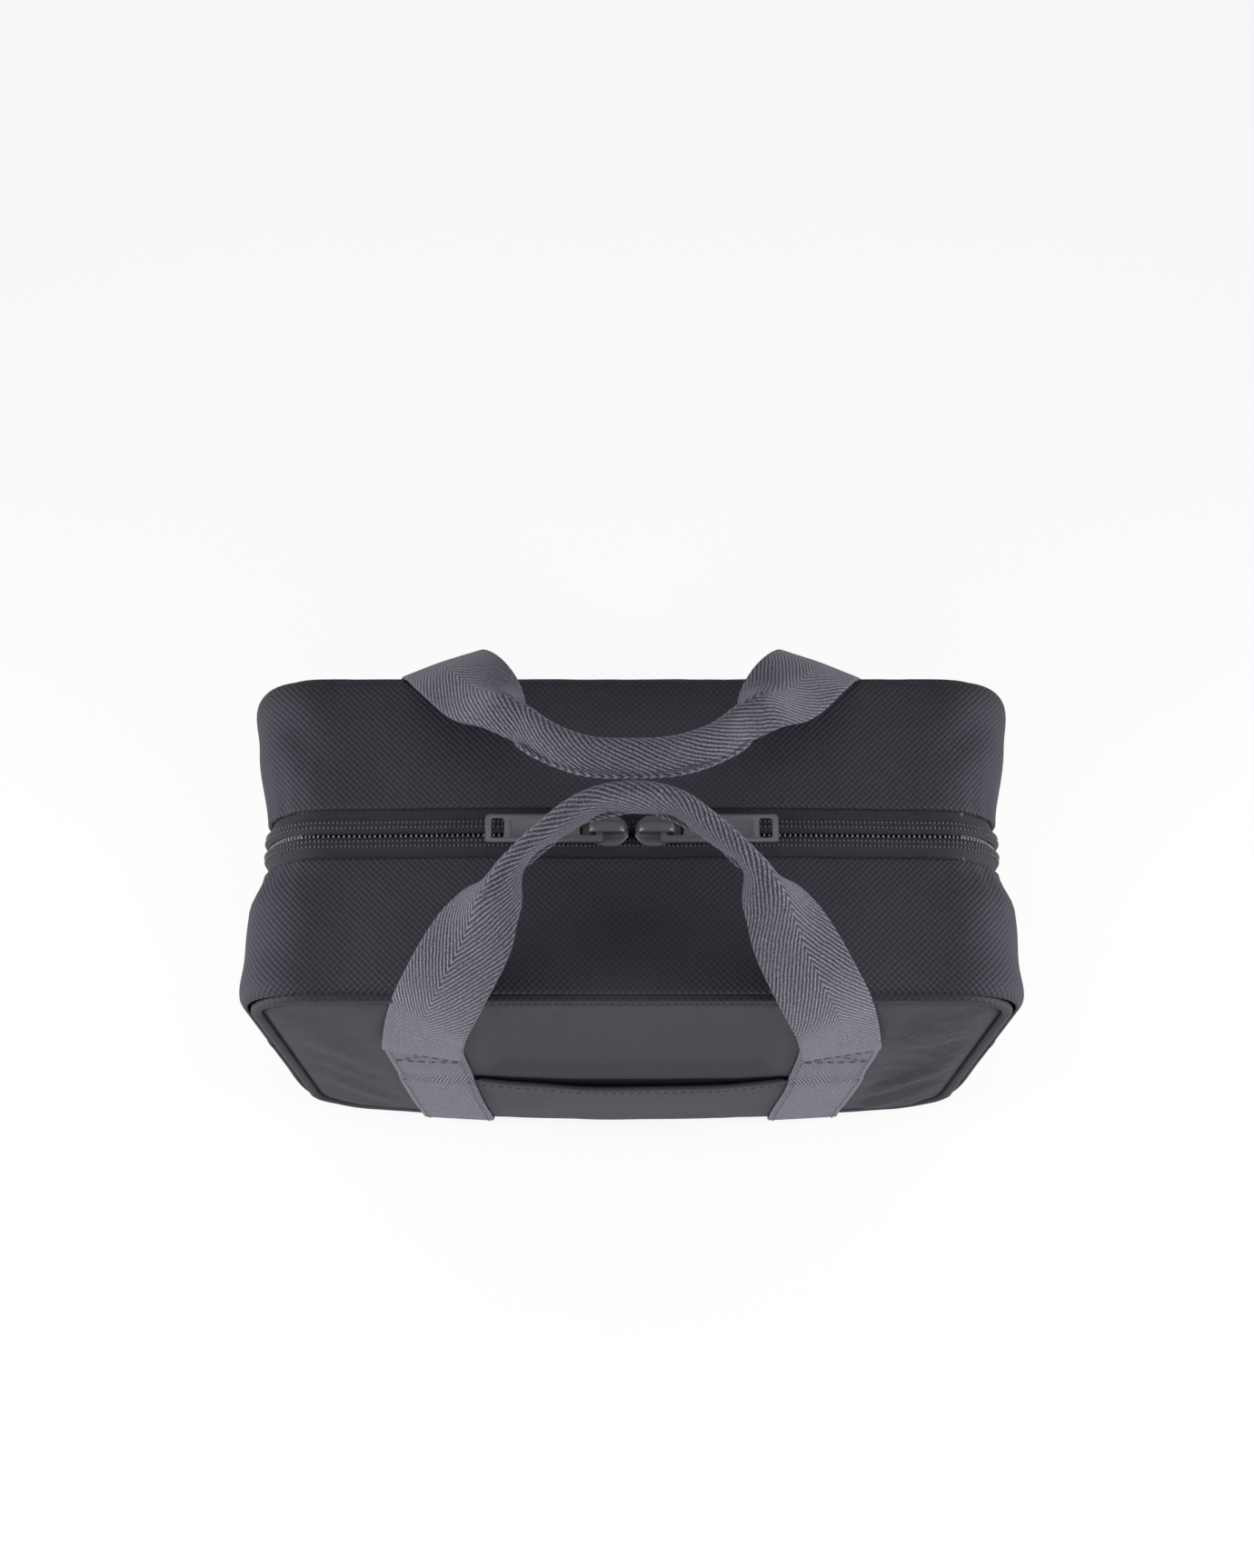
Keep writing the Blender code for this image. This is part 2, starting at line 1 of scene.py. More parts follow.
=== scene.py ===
import math
import bpy
import bmesh
import numpy as np
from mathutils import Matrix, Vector


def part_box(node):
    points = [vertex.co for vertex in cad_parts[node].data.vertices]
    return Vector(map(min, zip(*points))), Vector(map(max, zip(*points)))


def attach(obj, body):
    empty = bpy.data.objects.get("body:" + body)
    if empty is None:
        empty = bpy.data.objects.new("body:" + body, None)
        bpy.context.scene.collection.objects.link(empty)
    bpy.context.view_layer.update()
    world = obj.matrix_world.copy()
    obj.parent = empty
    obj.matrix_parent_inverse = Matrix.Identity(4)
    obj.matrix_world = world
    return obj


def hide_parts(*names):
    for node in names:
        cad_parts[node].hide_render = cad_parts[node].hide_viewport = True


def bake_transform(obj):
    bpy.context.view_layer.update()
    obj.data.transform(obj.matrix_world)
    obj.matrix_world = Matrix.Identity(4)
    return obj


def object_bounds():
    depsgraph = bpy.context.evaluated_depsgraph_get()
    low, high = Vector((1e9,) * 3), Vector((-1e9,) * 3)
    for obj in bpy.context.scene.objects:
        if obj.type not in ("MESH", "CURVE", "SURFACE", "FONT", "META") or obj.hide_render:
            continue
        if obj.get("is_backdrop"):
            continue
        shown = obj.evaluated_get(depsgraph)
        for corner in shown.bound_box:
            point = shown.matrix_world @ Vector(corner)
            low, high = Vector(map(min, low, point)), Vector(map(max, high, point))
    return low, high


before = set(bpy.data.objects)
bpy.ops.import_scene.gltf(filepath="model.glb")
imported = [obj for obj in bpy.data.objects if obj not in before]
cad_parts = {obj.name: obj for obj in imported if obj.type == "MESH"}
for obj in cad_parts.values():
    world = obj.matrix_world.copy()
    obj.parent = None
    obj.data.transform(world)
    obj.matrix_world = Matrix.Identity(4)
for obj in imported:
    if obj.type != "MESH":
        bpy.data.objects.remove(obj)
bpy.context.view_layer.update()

scene = bpy.context.scene
PI = math.pi


# =========================================================== frame dimensions
def box(n):
    lo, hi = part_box(n)
    return np.array(lo), np.array(hi)


_lo, _hi = box("front_top_panel")
GUS_Y, SLOT, GUS_TOP = -_lo[1], -_hi[1], _hi[2]
_lo, _hi = box("right_side_panel")
GUS_HW = _hi[0]
_lo, _hi = box("front_panel")
PAN_HW, PAN_Z0, PAN_Z1, PAN_Y = _hi[0], _lo[2], _hi[2], -_lo[1]
_lo, _hi = box("front_piping")
PIP_HW, PIP_Z0, PIP_Z1, PIP_YO, PIP_YI = _hi[0], _lo[2], _hi[2], -_lo[1], -_hi[1]
R = 0.026
PIPE_R = 0.0026
FX = GUS_HW - R                     # half length of the flat top
QL = R * PI / 2                     # length of a corner
SL = GUS_TOP - 2 * R                # straight part of a side
_lo, _hi = box("right_side_zip_coil")
ZIP_LOW = _lo[2]
S_LOW = FX + QL + (GUS_TOP - R - ZIP_LOW)   # cross seam, from the top centre
S_BOT = 2 * FX + 2 * QL + SL
_lo, _hi = box("front_right_strap_leg")
LEG_X = (_lo[0] + _hi[0]) / 2
WEB_W = _hi[0] - _lo[0]
FOLD_Z, LEG_Z0 = _hi[2], _lo[2]
_lo, _hi = box("front_pocket_panel")
PKT_TOP, PKT_LOW, PKT_HW = _hi[2] + 0.002, _lo[2], _hi[0]


def smooth(t):
    t = np.clip(t, 0, 1)
    return t * t * (3 - 2 * t)


# ------------------------------------------------ repeatable value noise (2D)
_rng = np.random.default_rng(11)
_tab = _rng.uniform(-1, 1, (64, 64))


def vnoise(x, y, seed=0):
    x = np.asarray(x, float) + 13.7 * seed
    y = np.asarray(y, float) + 7.3 * seed
    xi, yi = np.floor(x).astype(int), np.floor(y).astype(int)
    fx, fy = x - xi, y - yi
    fx, fy = fx * fx * (3 - 2 * fx), fy * fy * (3 - 2 * fy)
    g = lambda a, b: _tab[a % 64, b % 64]
    return ((g(xi, yi) * (1 - fx) + g(xi + 1, yi) * fx) * (1 - fy)
            + (g(xi, yi + 1) * (1 - fx) + g(xi + 1, yi + 1) * fx) * fy)


# ================================================================== materials
class Mat:
    def __init__(self, name):
        self.m = bpy.data.materials.new(name)
        self.m.use_nodes = True
        self.nt = self.m.node_tree
        self.b = self.nt.nodes["Principled BSDF"]

    def node(self, kind, **kw):
        n = self.nt.nodes.new(kind)
        for k, v in kw.items():
            setattr(n, k, v)
        return n

    def put(self, sock, val):
        if isinstance(val, (int, float)):
            sock.default_value = val
        elif isinstance(val, (tuple, list)):
            sock.default_value = val
        else:
            self.nt.links.new(val, sock)

    def math(self, op, a, b=None, c=None, clamp=False):
        n = self.node("ShaderNodeMath", operation=op, use_clamp=clamp)
        self.put(n.inputs[0], a)
        if b is not None:
            self.put(n.inputs[1], b)
        if c is not None:
            self.put(n.inputs[2], c)
        return n.outputs[0]

    def uv(self):
        n = self.node("ShaderNodeUVMap", uv_map="UVMap")
        s = self.node("ShaderNodeSeparateXYZ")
        self.put(s.inputs[0], n.outputs[0])
        return n.outputs[0], self.math("MULTIPLY", s.outputs[0], 1000.0), self.math("MULTIPLY", s.outputs[1], 1000.0)

    def objc(self):
        return self.node("ShaderNodeTexCoord").outputs["Object"]

    def noise(self, vec, scale, detail=3.0, rough=0.55):
        n = self.node("ShaderNodeTexNoise")
        self.put(n.inputs["Vector"], vec)
        n.inputs["Scale"].default_value = scale
        n.inputs["Detail"].default_value = detail
        n.inputs["Roughness"].default_value = rough
        return n.outputs["Fac"]

    def ramp(self, fac, stops):
        n = self.node("ShaderNodeValToRGB")
        cr = n.color_ramp
        while len(cr.elements) < len(stops):
            cr.elements.new(0.5)
        for e, (p, c) in zip(cr.elements, stops):
            e.position = p
            e.color = (*c, 1) if len(c) == 3 else c
        self.put(n.inputs[0], fac)
        return n.outputs[0]

    def mixc(self, fac, a, b, mode="MIX"):
        n = self.node("ShaderNodeMix", data_type="RGBA", blend_type=mode)
        self.put(n.inputs[0], fac)
        self.put(n.inputs[6], (*a, 1) if isinstance(a, tuple) and len(a) == 3 else a)
        self.put(n.inputs[7], (*b, 1) if isinstance(b, tuple) and len(b) == 3 else b)
        return n.outputs[2]

    def bump(self, height, strength, distance, normal=None):
        n = self.node("ShaderNodeBump")
        n.inputs["Strength"].default_value = strength
        n.inputs["Distance"].default_value = distance
        self.put(n.inputs["Height"], height)
        if normal is not None:
            self.put(n.inputs["Normal"], normal)
        return n.outputs[0]

    def out(self, color=None, rough=None, normal=None, **fixed):
        if color is not None:
            self.put(self.b.inputs["Base Color"], (*color, 1) if isinstance(color, tuple) and len(color) == 3 else color)
        if rough is not None:
            self.put(self.b.inputs["Roughness"], rough)
        if normal is not None:
            self.put(self.b.inputs["Normal"], normal)
        for k, v in fixed.items():
            self.b.inputs[k.replace("_", " ")].default_value = v
        return self.m


def coated(name, col, tex=1.0, k=2.55, sheen=0.0):
    """Matt coated canvas with a fine diamond grain."""
    M = Mat(name)
    uv, u, v = M.uv()
    a = M.math("SINE", M.math("MULTIPLY", u, k))
    b = M.math("SINE", M.math("MULTIPLY", v, k))
    grain = M.math("MULTIPLY", a, b)
    cloud = M.noise(uv, 38.0, 4.0)
    fine = M.noise(uv, 900.0, 2.0)
    base = M.ramp(cloud, [(0.30, tuple(c * 0.90 for c in col)), (0.72, tuple(c * 1.12 for c in col))])
    pits = M.math("MULTIPLY_ADD", grain, 0.5, 0.5)
    base = M.mixc(M.math("MULTIPLY", pits, 0.60), base, tuple(c * 1.85 for c in col))
    # faint scuffs where the coating has been rubbed
    scuff = M.math("MULTIPLY", M.math("GREATER_THAN", M.noise(uv, 210.0, 5.0, 0.7), 0.70), 0.20)
    base = M.mixc(scuff, base, tuple(min(1, c * 1.9) for c in col))
    rough = M.math("MULTIPLY_ADD", cloud, 0.16, 0.60)
    n1 = M.bump(grain, 0.80 * tex, 0.00021)
    n2 = M.bump(fine, 0.25, 0.00008, n1)
    n3 = M.bump(cloud, 0.12, 0.0012, n2)
    return M.out(base, rough, n3, Specular_IOR_Level=0.15, Specular_Tint=(0.92, 0.91, 1.0, 1), Sheen_Weight=sheen,
                 Sheen_Roughness=0.45, Sheen_Tint=(0.80, 0.80, 0.86, 1))


def webbing(name, lo, hi, split=-0.0015):
    """Herringbone twill: ribs that meet along a line near the middle."""
    M = Mat(name)
    uv, u, v = M.uv()
    wob = M.math("MULTIPLY", M.math("SUBTRACT", M.noise(uv, 160.0, 2.0), 0.5), 0.9)
    d = M.math("ABSOLUTE", M.math("SUBTRACT", u, split * 1000))
    ph = M.math("SUBTRACT", M.math("MULTIPLY", v, 0.46), M.math("MULTIPLY", d, 0.90))
    ph = M.math("ADD", ph, wob)
    rib = M.math("SINE", M.math("MULTIPLY", ph, 2 * PI / 1.34))
    thr = M.math("SINE", M.math("MULTIPLY", u, 2 * PI / 0.62))
    thv = M.math("SINE", M.math("MULTIPLY", v, 2 * PI / 0.74))
    fib = M.noise(uv, 1050.0, 3.0, 0.7)
    patch = M.noise(uv, 95.0, 2.0)
    keep = M.math("MULTIPLY_ADD", patch, 1.6, -0.25, clamp=True)
    h = M.math("MULTIPLY", rib, M.math("MULTIPLY_ADD", keep, 0.65, 0.45))
    h = M.math("MULTIPLY_ADD", thr, 0.30, h)
    h = M.math("MULTIPLY_ADD", thv, 0.30, h)
    h = M.math("MULTIPLY_ADD", M.math("SUBTRACT", fib, 0.5), 3.2, h)
    hn = M.math("MULTIPLY_ADD", h, 0.50, 0.40, clamp=True)
    base = M.ramp(hn, [(0.08, lo), (0.55, tuple(0.62 * a + 0.38 * b for a, b in zip(lo, hi))), (0.95, hi)])
    cloud = M.noise(uv, 60.0, 3.0)
    base = M.mixc(M.math("MULTIPLY", cloud, 0.30), base, tuple((a * 0.6 + b * 0.25) for a, b in zip(lo, hi)))
    rough = M.math("MULTIPLY_ADD", cloud, 0.14, 0.60)
    n1 = M.bump(h, 0.80, 0.00026)
    n2 = M.bump(fib, 0.40, 0.00012, n1)
    return M.out(base, rough, n2, Specular_IOR_Level=0.30, Sheen_Weight=0.16,
                 Sheen_Roughness=0.4, Sheen_Tint=(0.75, 0.76, 0.88, 1))


def twill(name, lo, hi, pitch=0.85, slope=1.0, rough0=0.70):
    M = Mat(name)
    uv, u, v = M.uv()
    ph = M.math("ADD", u, M.math("MULTIPLY", v, slope))
    rib = M.math("SINE", M.math("MULTIPLY", ph, 2 * PI / pitch))
    fib = M.noise(uv, 1300.0, 3.0, 0.7)
    h = M.math("MULTIPLY_ADD", M.math("SUBTRACT", fib, 0.5), 1.6, rib)
    hn = M.math("MULTIPLY_ADD", h, 0.28, 0.5, clamp=True)
    base = M.ramp(hn, [(0.15, lo), (0.90, hi)])
    cloud = M.noise(uv, 50.0, 3.0)
    rough = M.math("MULTIPLY_ADD", cloud, 0.15, rough0)
    n1 = M.bump(h, 0.55, 0.00012)
    return M.out(base, rough, n1, Specular_IOR_Level=0.16, Specular_Tint=(0.92, 0.91, 1.0, 1), Sheen_Weight=0.03,
                 Sheen_Roughness=0.5)


def plain_weave(name, lo, hi, pitch=0.7):
    M = Mat(name)
    uv, u, v = M.uv()
    a = M.math("SINE", M.math("MULTIPLY", u, 2 * PI / pitch))
    b = M.math("SINE", M.math("MULTIPLY", v, 2 * PI / pitch))
    h = M.math("MULTIPLY", a, b)
    cloud = M.noise(uv, 30.0, 4.0)
    hn = M.math("MULTIPLY_ADD", h, 0.3, M.math("MULTIPLY", cloud, 1.0), clamp=True)
    base = M.ramp(hn, [(0.2, lo), (0.8, hi)])
    n1 = M.bump(h, 0.45, 0.00008)
    n2 = M.bump(cloud, 0.35, 0.0015, n1)
    return M.out(base, M.math("MULTIPLY_ADD", cloud, 0.2, 0.55), n2,
                 Specular_IOR_Level=0.35, Sheen_Weight=0.2)


def grained(name, lo, hi, scale, rough=(0.5, 0.2), bump=(0.3, 0.0002), metal=0.0, spec=0.4, detail=4.0, **kw):
    """Noise-led finish for paint, plastic, foam, thread and board."""
    M = Mat(name)
    oc = M.objc()
    n = M.noise(oc, scale, detail)
    big = M.noise(oc, scale * 0.06, 3.0)
    base = M.ramp(n, [(0.30, lo), (0.70, hi)])
    base = M.mixc(M.math("MULTIPLY", big, 0.35), base, tuple(0.5 * (a + b) * 0.8 for a, b in zip(lo, hi)))
    r = M.math("MULTIPLY_ADD", big, rough[1], rough[0])
    n1 = M.bump(n, *bump)
    return M.out(base, r, n1, Metallic=metal, Specular_IOR_Level=spec, **kw)


SHELL = (0.0212, 0.0202, 0.0262)
MAT = {
    "shell": coated("shell_coated_canvas", SHELL),
    "pipe": coated("piping_coated_canvas", tuple(c * 0.95 for c in SHELL), 0.5),
    "web": webbing("herringbone_webbing", (0.0075, 0.0072, 0.0112), (0.222, 0.214, 0.282)),
    "tape": twill("zip_tape_twill", (0.0048, 0.0045, 0.0060), (0.045, 0.0425, 0.054)),
    "lining": plain_weave("lining_weave", (0.040, 0.040, 0.045), (0.075, 0.074, 0.082)),
    "stitch": grained("zip_thread", (0.036, 0.034, 0.039), (0.088, 0.083, 0.095), 2500, (0.6, 0.1), (0.4, 0.00008)),
    # coil teeth: their light grey colour is a painted highlight for the small glints along the dark coil
    "tooth_painted_highlight": grained("coil_nylon_painted_highlight", (0.17, 0.168, 0.178), (0.33, 0.325, 0.345), 1800, (0.30, 0.15), (0.15, 0.00005), 0.0, 0.6),
    # coil core: a real part, but its near-black colour is painted shade for the dark gap between the two tapes
    "core": grained("coil_core_painted_shade", (0.003, 0.003, 0.0035), (0.007, 0.007, 0.008), 1800, (0.40, 0.15), (0.3, 0.0001)),
    "thread": grained("webbing_thread", (0.085, 0.083, 0.110), (0.190, 0.185, 0.240), 2600, (0.6, 0.1), (0.4, 0.00008)),
    "thread_dark": grained("body_thread", (0.020, 0.019, 0.023), (0.048, 0.047, 0.054), 2600, (0.6, 0.1), (0.4, 0.00008)),
    "metal": grained("painted_zinc", (0.062, 0.060, 0.068), (0.084, 0.081, 0.092), 2200, (0.34, 0.14), (0.10, 0.00005), 0.20, 0.5,
                     Coat_Weight=0.12, Coat_Roughness=0.35),
    "foam": grained("foam_cells", (0.12, 0.12, 0.12), (0.26, 0.26, 0.26), 1400, (0.85, 0.1), (0.8, 0.0003)),
    "board": grained("base_board_fibre", (0.07, 0.055, 0.04), (0.16, 0.13, 0.10), 260, (0.75, 0.15), (0.4, 0.0003)),
}


# ================================================================ mesh making
def make_object(name, verts, faces, uvs, mat, smooth_angle=None):
    """faces: lists of vertex indices; uvs: one (u, v) list for each face."""
    me = bpy.data.meshes.new(name)
    me.from_pydata([tuple(map(float, v)) for v in verts], [], faces)
    lay = me.uv_layers.new(name="UVMap")
    flat = [c for f in uvs for uvp in f for c in uvp]
    lay.data.foreach_set("uv", np.array(flat, np.float32))
    bm = bmesh.new()
    bm.from_mesh(me)
    bmesh.ops.recalc_face_normals(bm, faces=bm.faces)
    bm.to_mesh(me)
    bm.free()
    me.shade_smooth()
    if smooth_angle:
        me.set_sharp_from_angle(angle=math.radians(smooth_angle))
    me.materials.append(mat)
    ob = bpy.data.objects.new(name, me)
    scene.collection.objects.link(ob)
    return ob


def normals_of(P, ref):
    du = np.gradient(P, axis=0)
    dv = np.gradient(P, axis=1)
    n = np.cross(du, dv)
    n /= np.linalg.norm(n, axis=2, keepdims=True) + 1e-15
    c = (n * ref).sum(axis=2)
    if c.mean() < 0:
        n = -n
    return n


def sheet(name, P, UV, t, mat, ref, bead=0.35):
    """A cloth sheet with thickness t and rounded edges. P is the outer face."""
    ni, nj = P.shape[:2]
    N = normals_of(P, ref)
    Q = P - N * t
    # round the edge: pull the two faces in, leave the middle line out
    mid = P - N * t * 0.5
    Po, Qo = P.copy(), Q.copy()
    if bead:
        def pull(A, sl, inn):
            d = A[inn] - A[sl]
            L = np.linalg.norm(d, axis=-1, keepdims=True) + 1e-12
            A[sl] = A[sl] + d / L * np.minimum(t * bead, L * 0.6)
        for A in (Po, Qo):
            pull(A, (0, slice(None)), (1, slice(None)))
            pull(A, (-1, slice(None)), (-2, slice(None)))
            pull(A, (slice(None), 0), (slice(None), 1))
            pull(A, (slice(None), -1), (slice(None), -2))
    rim = ([(0, j) for j in range(nj)] + [(i, nj - 1) for i in range(1, ni)]
           + [(ni - 1, j) for j in range(nj - 2, -1, -1)] + [(i, 0) for i in range(ni - 2, 0, -1)])
    verts = list(Po.reshape(-1, 3)) + list(Qo.reshape(-1, 3))
    base = len(verts)
    verts += [mid[i, j] for i, j in rim]
    idx = lambda i, j: i * nj + j
    off = ni * nj
    faces, uvs = [], []
    for i in range(ni - 1):
        for j in range(nj - 1):
            q = [(i, j), (i + 1, j), (i + 1, j + 1), (i, j + 1)]
            faces.append([idx(*a) for a in q])
            uvs.append([UV[a] for a in q])
            faces.append([idx(*a) + off for a in q[::-1]])
            uvs.append([UV[a] for a in q[::-1]])
    m = len(rim)
    for k in range(m):
        a, b = rim[k], rim[(k + 1) % m]
        ka, kb = base + k, base + (k + 1) % m
        faces.append([idx(*a), idx(*b), kb, ka])
        uvs.append([UV[a], UV[b], UV[b], UV[a]])
        faces.append([ka, kb, idx(*b) + off, idx(*a) + off])
        uvs.append([UV[a], UV[b], UV[b], UV[a]])
    return make_object(name, verts, faces, uvs, mat)


def loops_to_mesh(name, L, U, mat, close_path=False, cap=True, smooth_angle=None):
    """Skin closed cross-sections L[i, k]; U[i, k] has one extra column for the wrap."""
    ni, nk = L.shape[:2]
    verts = list(L.reshape(-1, 3))
    faces, uvs = [], []
    n = ni if close_path else ni - 1
    for i in range(n):
        i2 = (i + 1) % ni
        for k in range(nk):
            k2 = (k + 1) % nk
            faces.append([i * nk + k, i2 * nk + k, i2 * nk + k2, i * nk + k2])
            uvs.append([U[i, k], U[i + 1, k], U[i + 1, k + 1], U[i, k + 1]])
    if cap and not close_path:
        for i in (0, ni - 1):
            c = L[i].mean(axis=0)
            verts.append(c)
            ci = len(verts) - 1
            uc = U[i, :-1].mean(axis=0)
            for k in range(nk):
                k2 = (k + 1) % nk
                faces.append([i * nk + k, i * nk + k2, ci])
                uvs.append([U[i, k], U[i, k + 1], uc])
    return make_object(name, verts, faces, uvs, mat, smooth_angle)


def ribbon(name, C, W, N, t, mat, nq=16, section=None, u0=0.0):
    """Webbing along frames: C centre, W across (half width in its length), N face
    normal. section(i, q) may bend the cross-section and gives (w, n) in metres."""
    n = len(C)
    seg = np.linalg.norm(np.diff(C, axis=0), axis=1)
    along = np.concatenate([[0], np.cumsum(seg)]) + u0
    q = np.linspace(-1, 1, nq + 1)
    L, U = [], []
    for i in range(n):
        hw = np.linalg.norm(W[i])
        w = W[i] / hw
        nn = N[i] / np.linalg.norm(N[i])
        if section is None:
            pw, pn = q * (hw - t * 0.3), np.zeros_like(q)
            tw, tn = np.ones_like(q), np.zeros_like(q)
        else:
            pw, pn, tw, tn = section(i, q * (hw - t * 0.3))
        # normals of the section curve
        ow, on = -tn, tw
        up = [C[i] + w * (a + ow_ * t / 2) + nn * (b + on_ * t / 2) for a, b, ow_, on_ in zip(pw, pn, ow, on)]
        dn = [C[i] + w * (a - ow_ * t / 2) + nn * (b - on_ * t / 2) for a, b, ow_, on_ in zip(pw, pn, ow, on)]
        e1 = C[i] + w * (pw[-1] + tw[-1] * t * 0.3) + nn * (pn[-1] + tn[-1] * t * 0.3)
        e0 = C[i] + w * (pw[0] - tw[0] * t * 0.3) + nn * (pn[0] - tn[0] * t * 0.3)
        L.append(up + [e1] + dn[::-1] + [e0])
        uu = list(q * hw) + [hw + t * 0.5] + list(q[::-1] * hw) + [-hw - t * 0.5, -hw]
        U.append([(a, along[i]) for a in uu])
    return loops_to_mesh(name, np.array(L), np.array(U), mat)


def stitch_run(pts, nrm, length, gap, rad, lift=0.0, sides=6):
    """Small sunk threads along a line. Returns verts, faces."""
    pts, nrm = np.asarray(pts, float), np.asarray(nrm, float)
    seg = np.linalg.norm(np.diff(pts, axis=0), axis=1)
    cum = np.concatenate([[0], np.cumsum(seg)])
    total = cum[-1]
    n = max(1, int(total / (length + gap)))
    step = total / n
    verts, faces = [], []

    def at(s):
        s = min(max(s, 0), total)
        k = min(np.searchsorted(cum, s, side="right") - 1, len(seg) - 1)
        f = (s - cum[k]) / max(seg[k], 1e-12)
        return pts[k] * (1 - f) + pts[k + 1] * f, nrm[k] * (1 - f) + nrm[k + 1] * f

    for i in range(n):
        a = i * step + gap / 2
        b = a + step - gap
        prof = [(0.0, 0.45, -0.9), (0.12, 0.85, -0.15), (0.35, 1.0, 0.25), (0.65, 1.0, 0.25), (0.88, 0.85, -0.15), (1.0, 0.45, -0.9)]
        base = len(verts)
        for f, r, h in prof:
            p, m = at(a + (b - a) * f)
            p2, _ = at(a + (b - a) * f + 1e-4)
            t = p2 - p
            if np.linalg.norm(t) < 1e-9:
                p1, _ = at(a + (b - a) * f - 1e-4)
                t = p - p1
            t /= np.linalg.norm(t) + 1e-15
            m = m - t * (m @ t)
            m /= np.linalg.norm(m) + 1e-15
            c = np.cross(t, m)
            o = p + m * (lift + h * rad)
            for k in range(sides):
                w = 2 * PI * k / sides
                verts.append(o + (m * math.cos(w) + c * math.sin(w)) * rad * r)
        for j in range(len(prof) - 1):
            for k in range(sides):
                k2 = (k + 1) % sides
                faces.append([base + j * sides + k, base + (j + 1) * sides + k,
                              base + (j + 1) * sides + k2, base + j * sides + k2])
        faces.append([base + k for k in range(sides)])
        faces.append([base + (len(prof) - 1) * sides + k for k in range(sides)][::-1])
    return verts, faces


def stitches(name, runs, mat):
    """runs: list of (verts, faces)."""
    V, F = [], []
    for v, f in runs:
        b = len(V)
        V += list(v)
        F += [[a + b for a in x] for x in f]
    uv = [[(V[a][0], V[a][1]) for a in f] for f in F]
    return make_object(name, V, F, uv, mat)


# ===================================================== shared soft-body shapes
def perim(s):
    """Outline of the gusset in X and Z by arc length from the top centre,
    positive to the right, and its outward normal."""
    s = np.asarray(s, float)
    a, sg = np.abs(s), np.where(s < 0, -1.0, 1.0)
    x, z = np.zeros_like(a), np.zeros_like(a)
    nx, nz = np.zeros_like(a), np.zeros_like(a)
    m = a <= FX
    x[m], z[m], nx[m], nz[m] = a[m], GUS_TOP, 0, 1
    m = (a > FX) & (a <= FX + QL)
    t = (a[m] - FX) / R
    x[m], z[m], nx[m], nz[m] = FX + R * np.sin(t), GUS_TOP - R + R * np.cos(t), np.sin(t), np.cos(t)
    m = (a > FX + QL) & (a <= FX + QL + SL)
    x[m], z[m], nx[m], nz[m] = GUS_HW, GUS_TOP - R - (a[m] - FX - QL), 1, 0
    m = (a > FX + QL + SL) & (a <= FX + 2 * QL + SL)
    t = (a[m] - FX - QL - SL) / R
    x[m], z[m], nx[m], nz[m] = FX + R * np.cos(t), R - R * np.sin(t), np.cos(t), -np.sin(t)
    m = a > FX + 2 * QL + SL
    x[m], z[m], nx[m], nz[m] = FX - (a[m] - FX - 2 * QL - SL), 0, 0, -1
    return x * sg, z, nx * sg, nz


def bow(x, z):
    """How far the lower front and back belly out."""
    g = 1 - smooth((z - 0.050) / 0.115)
    return 0.0056 * np.clip(1 - (x / 0.128) ** 2, 0, 1) * g


def bellied(P):
    P = np.array(P, float)
    y = P[..., 1]
    P[..., 1] = y + np.sign(y) * bow(P[..., 0], P[..., 2]) * smooth(np.abs(y) / 0.058)
    return P


GV = 0.0599                         # where the gusset meets the piping
DROP = 0.0023


def side_part(s):
    return smooth((np.abs(s) - 0.104) / 0.034)


def pinch(s):
    a = np.abs(s)
    return smooth((a - 0.106) / 0.028) * (1 - 0.80 * smooth((a - (FX + QL + 0.020)) / 0.040))


def puckers(s, v, side):
    """Small gathers next to the zip where it turns the shoulders."""
    a = np.abs(s)
    env = np.exp(-((a - (FX + 0.020)) / 0.015) ** 2) * np.exp(-np.clip(v - SLOT, 0, 1) / 0.011)
    return 0.00055 * env * np.sin(a / 0.0095 * 2 * PI + 1.3 * side + np.sign(s))


def shoulder(w):
    """The gusset rolls down into the piping seam, w is the distance from it."""
    q = np.clip(w / 0.0046, 0, 1)
    return -DROP * (1 - np.sqrt(np.clip(1 - (1 - q) ** 2, 0, 1)))


def flare(s, w):
    """On the sides the gusset swells just inside the seams."""
    a = np.abs(s)
    low = 1 - smooth((a - (S_BOT - FX - QL * 1.3)) / 0.030)
    return 0.0019 * side_part(s) * low * np.exp(-((w - 0.0062) / 0.0085) ** 2)


def shell_off(s, v, side):
    a = np.abs(s)
    sp = side_part(s)
    w = GV - v
    t = np.clip(w / (GV - SLOT), 0, 1)
    puff = 0.0015 * np.sin(PI * t) ** 0.85 * (1 - 0.75 * sp)
    reach = 0.0150 if side < 0 else 0.0300
    pin = -0.0046 * pinch(s) * smooth(1 - (v - SLOT) / reach)
    ends = -0.0021 * smooth((a - 0.050) / 0.060) * (1 - sp)
    sag = -0.0011 * np.exp(-(s / 0.085) ** 2) * smooth(t)
    if side < 0:
        dent = 0.0006 * sp * np.exp(-((a - 0.150) / 0.012) ** 2) * np.exp(-((v - 0.034) / 0.010) ** 2)
    else:
        dent = -0.0016 * np.exp(-((a - 0.121) / 0.010) ** 2) * np.exp(-((v - 0.036 - (a - 0.121) * 0.6) / 0.009) ** 2)
    soft = 0.00040 * vnoise(s * 26, v * 40, 1 + side) * smooth(t * 4) * smooth((1 - t) * 5)
    soft = soft + 0.00022 * vnoise(s * 70, v * 80, 4 + side) * smooth(t * 5)
    return shoulder(w) + puff + flare(s, w) + pin + ends + sag + dent + soft + puckers(s, v, side)


